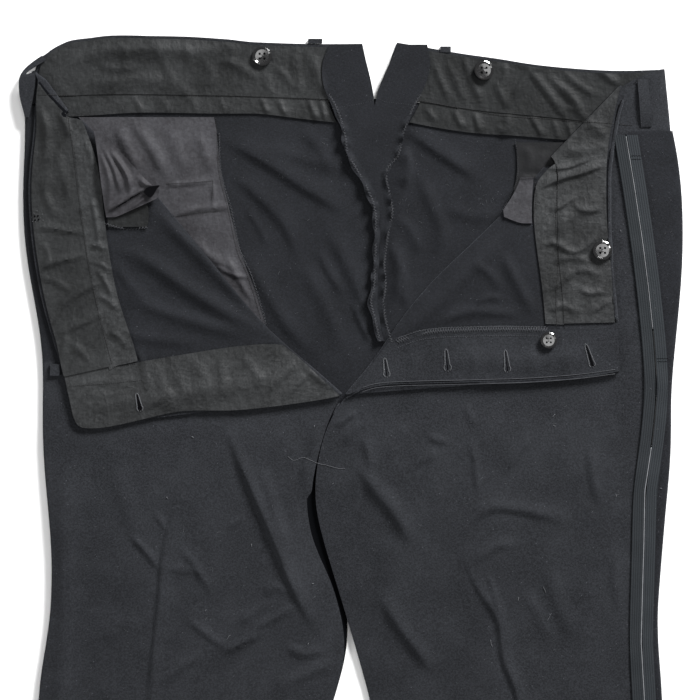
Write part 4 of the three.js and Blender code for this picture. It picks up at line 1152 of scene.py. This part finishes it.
chance = random.Random(4)
for name, start, end, material in (("outseam_cord_upper", 137, 330, "white_thread"),
                                   ("outseam_cord_middle", 331, 446, "black_thread"),
                                   ("outseam_cord_lower", 447, 1345, "white_thread")):
    bm = bmesh.new()
    path = [place(outseam(v), v, top(outseam(v) - 1.6, v) - 0.25) for v in np.arange(start, end, 3.0)]
    wide = 0.36 if start > 400 else 0.26
    tube(bm, path, [(wide + 0.12 * chance.random()) * MM for _ in path], 6)
    finish_piece(name, bm, material)

# %% Fly piping
bm = bmesh.new()
LIP = [(332, 424), (334, 415), (340, 405), (351, 397.5), (362, 391.5), (376, 387.5), (400, 385.5),
       (440, 384.5), (480, 383.5), (527, 382), (575, 378.5), (614, 373.5)]
edge = [place(p[0], p[1] - 2.0, top(p[0], p[1] - 7) - 0.6) for p in flowing(LIP, 6)]
tube(bm, edge, 0.6 * MM, 6)
finish_piece("fly_piping", bm, "wool")
bm = bmesh.new()
for down, reach, sink in ((-4.0, -7, -0.2), (0.2, -7, 0.2)):
    edge = [place(p[0], p[1] + down, top(p[0], p[1] + reach) - sink) for p in flowing(LIP[4:], 8)]
    tube(bm, edge, [(0.22 + 0.12 * chance.random()) * MM for _ in edge], 5)
finish_piece("fly_edges", bm, "grey_thread")

# %% Rim of the left flap
RIM = flowing([(635, 83), (627, 92), (619.5, 105), (615.5, 118), (613.2, 130), (610, 149), (607, 171),
               (606.7, 193), (606.7, 215), (607.2, 238), (608.6, 260), (611, 290), (614, 322)], 6)
over = [max(top(h + off, v) for off in (-3, 0, 3)) for h, v in RIM]
taper = [0.5 + 1.1 * min(1.0, max(0.0, float(v - 84) / 40)) for _, v in RIM]


def along_rim(right, down, sink):
    """The rim's line, moved to the right, and down by a fixed amount and by one that tapers."""
    return [place(h + right, v, z - down - sink * r) for (h, v), z, r in zip(RIM, over, taper)]


bm, shade_bm = bmesh.new(), bmesh.new()
tube(bm, along_rim(1.3, 0, 1.5), [1.25 * r * MM for r in taper], 10)
# thin dark tubes on both sides of the rim, painted as its shade
tube(shade_bm, along_rim(-0.4, 0.3, 0), 0.24 * MM, 6)
tube(shade_bm, along_rim(3.3, 0, 2.6), 0.4 * MM, 6)
finish_piece("flap_rim", bm, "wool")
finish_piece("flap_rim_shade", shade_bm, "shadow")

# %% Marks of a lost button
bm = bmesh.new()
for h, v in ((36.0, 216.8), (39.2, 216.4), (36.4, 220.6), (39.8, 220.2)):
    tube(bm, [place(h, v, top(h, v) - 0.3), place(h + 0.2, v, top(h, v) + 0.7)], [1.0 * MM, 0.55 * MM], 6)
finish_piece("thread_marks", bm, "shadow")
bm = bmesh.new()
for k in range(9):
    turn = k * 2.4
    off = Vector((math.cos(turn), math.sin(turn))) * (3.4 + 1.2 * (k % 3))
    p = Vector((37.8, 218.5)) + off
    spindle(bm, place(*p, top(*p) + 0.2), place(*(p + off * 0.35), top(*p) + 0.3), 0.22 * MM)
finish_piece("thread_fuzz", bm, "pale_thread")

# %% Bar tacks
bm = bmesh.new()
for v, wide in ((156.5, 11), (160, 10), (358.5, 12), (361.5, 11)):
    h = outseam(v)
    for k in range(wide):
        p = (h + 1.4 + k * 0.95, v + 0.3 * math.sin(k * 2.1))
        spindle(bm, place(*p, top(*p) + 0.1), place(p[0] + 1.1, p[1], top(*p) + 0.1), 0.28 * MM)
finish_piece("bartacks", bm, "shadow")

# %% [markdown]
# ## Button thread
# Two strands cross the holes of each button.

# %% Button thread
bm = bmesh.new()
for (h, v), wide, turn in zip(BUTTONS, (4.8, 4.8, 4.8, 4.1), (0.1, 0.5, -0.1, 0.0)):
    for sign in (-1, 1):
        axis = Vector((math.cos(turn), math.sin(turn)))
        cross = Vector((-axis.y, axis.x)) * sign * wide * 0.27
        ends = [Vector((h, v)) + cross + axis * s * wide * 0.27 for s in (-1, 1)]
        level = top(*(Vector((h, v)) + cross * 0.2))
        tube(bm, [place(*ends[0], level - 0.4), place(*((ends[0] + ends[1]) / 2), level + 0.25),
                  place(*ends[1], level - 0.4)], 0.38 * MM, 6)
finish_piece("button_thread", bm, "black_thread")

# %% [markdown]
# ## Lint
# Dark wool picks up pale fibres and specks. Most are very short; one long loose thread lies across
# the fork.

# %% Lint
chance = random.Random(20)
bm = bmesh.new()


def fibre(bm, h, v, length, curl, thick):
    angle = chance.uniform(0, math.tau)
    path = []
    for _ in range(5):
        path.append(place(h, v, top(h, v) + 0.12 + thick))
        angle += chance.uniform(-curl, curl)
        h, v = h + math.cos(angle) * length / 4, v + math.sin(angle) * length / 4
    tube(bm, path, thick * MM, 3)


ZONES = [(58, 440, 330, 1340), (58, 440, 320, 700), (360, 400, 600, 1340), (370, 400, 640, 700),
         (230, 140, 330, 320), (400, 150, 500, 230), (650, 140, 672, 700)]    # left, top, right, bottom
for _ in range(300):
    left, upper, right, lower = chance.choice(ZONES)
    h, v = chance.uniform(left, right), chance.uniform(upper, lower)
    if top(h, v) > 0.5:
        fibre(bm, h, v, chance.uniform(1, 4.5), 0.9, chance.uniform(0.04, 0.08))
for h, v, length, thick in [(552, 417, 4, 0.3), (555, 426, 3, 0.2), (615, 496, 2, 0.3), (314, 427, 2, 0.3),
                            (194, 437, 2, 0.35), (168, 498, 2, 0.3), (206, 610, 2, 0.3), (309, 642, 2, 0.35),
                            (252, 546, 3, 0.25), (518, 596, 4, 0.3), (332, 484, 2, 0.3), (314, 583, 2, 0.3),
                            (231, 634, 6, 0.2), (661, 488, 2, 0.25), (545, 592, 7, 0.15), (546, 620, 9, 0.15),
                            (492, 646, 8, 0.18), (620, 232, 2, 0.3)]:
    fibre(bm, h, v, length, 0.5, thick)
finish_piece("lint", bm, "pale_thread")

# %% A loose thread
bm = bmesh.new()
LOOSE = [(288, 456), (294, 460), (303, 457), (309, 459), (318, 463), (327, 465), (338, 468), (345, 468)]
path = [place(*p, top(*p) + 0.3) for p in flowing(LOOSE, 5)]
tube(bm, path, 0.13 * MM, 4)
finish_piece("loose_thread", bm, "pale_thread")

# %% [markdown]
# ## Table and light
# Dark cloth shows its creases only where light grazes them. A large lamp stands beyond the waist, a
# weak one fills in from the lower left, and a small one overhead gives the buttons their glint. The
# table and the room are nearly white, so shadows on them stay soft.

# %% Table
table_mesh = bpy.data.meshes.new("table")
bm = bmesh.new()
bmesh.ops.create_grid(bm, x_segments=2, y_segments=2, size=6)
bm.to_mesh(table_mesh)
bm.free()
table = put("table", table_mesh)
table_mesh.materials.append(plain("table", (0.94, 0.94, 0.94), 0.9))
table.location.z = -0.0005


# %% Light
def area_light(name, spot, power, size):
    data = bpy.data.lights.new(name, "AREA")
    data.energy, data.size = power, size
    light = put(name, data)
    light.location = spot
    light.rotation_mode = "QUATERNION"
    light.rotation_quaternion = (place(350, 330) - Vector(spot)).to_track_quat("-Z", "Y")


area_light("key", (2.4, 3.8, 2.1), 640, 1.5)
area_light("side", (-3.4, -1.2, 2.4), 80, 1.2)
area_light("overhead", (0.43, 0.56, 2.9), 13, 1.1)
world = bpy.data.worlds.new("studio")
world.use_nodes = True
backdrop = world.node_tree.nodes["Background"]
backdrop.inputs["Color"].default_value = (1, 1, 1, 1)
backdrop.inputs["Strength"].default_value = 0.28
bpy.context.scene.world = world
bpy.context.scene.view_settings.view_transform = "Standard"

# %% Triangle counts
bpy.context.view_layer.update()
counts = {name: sum(len(p.vertices) - 2 for p in o.data.polygons) for name, o in made.items()}
print("triangles:", sum(counts.values()), "largest:", max(counts, key=counts.get), max(counts.values()))
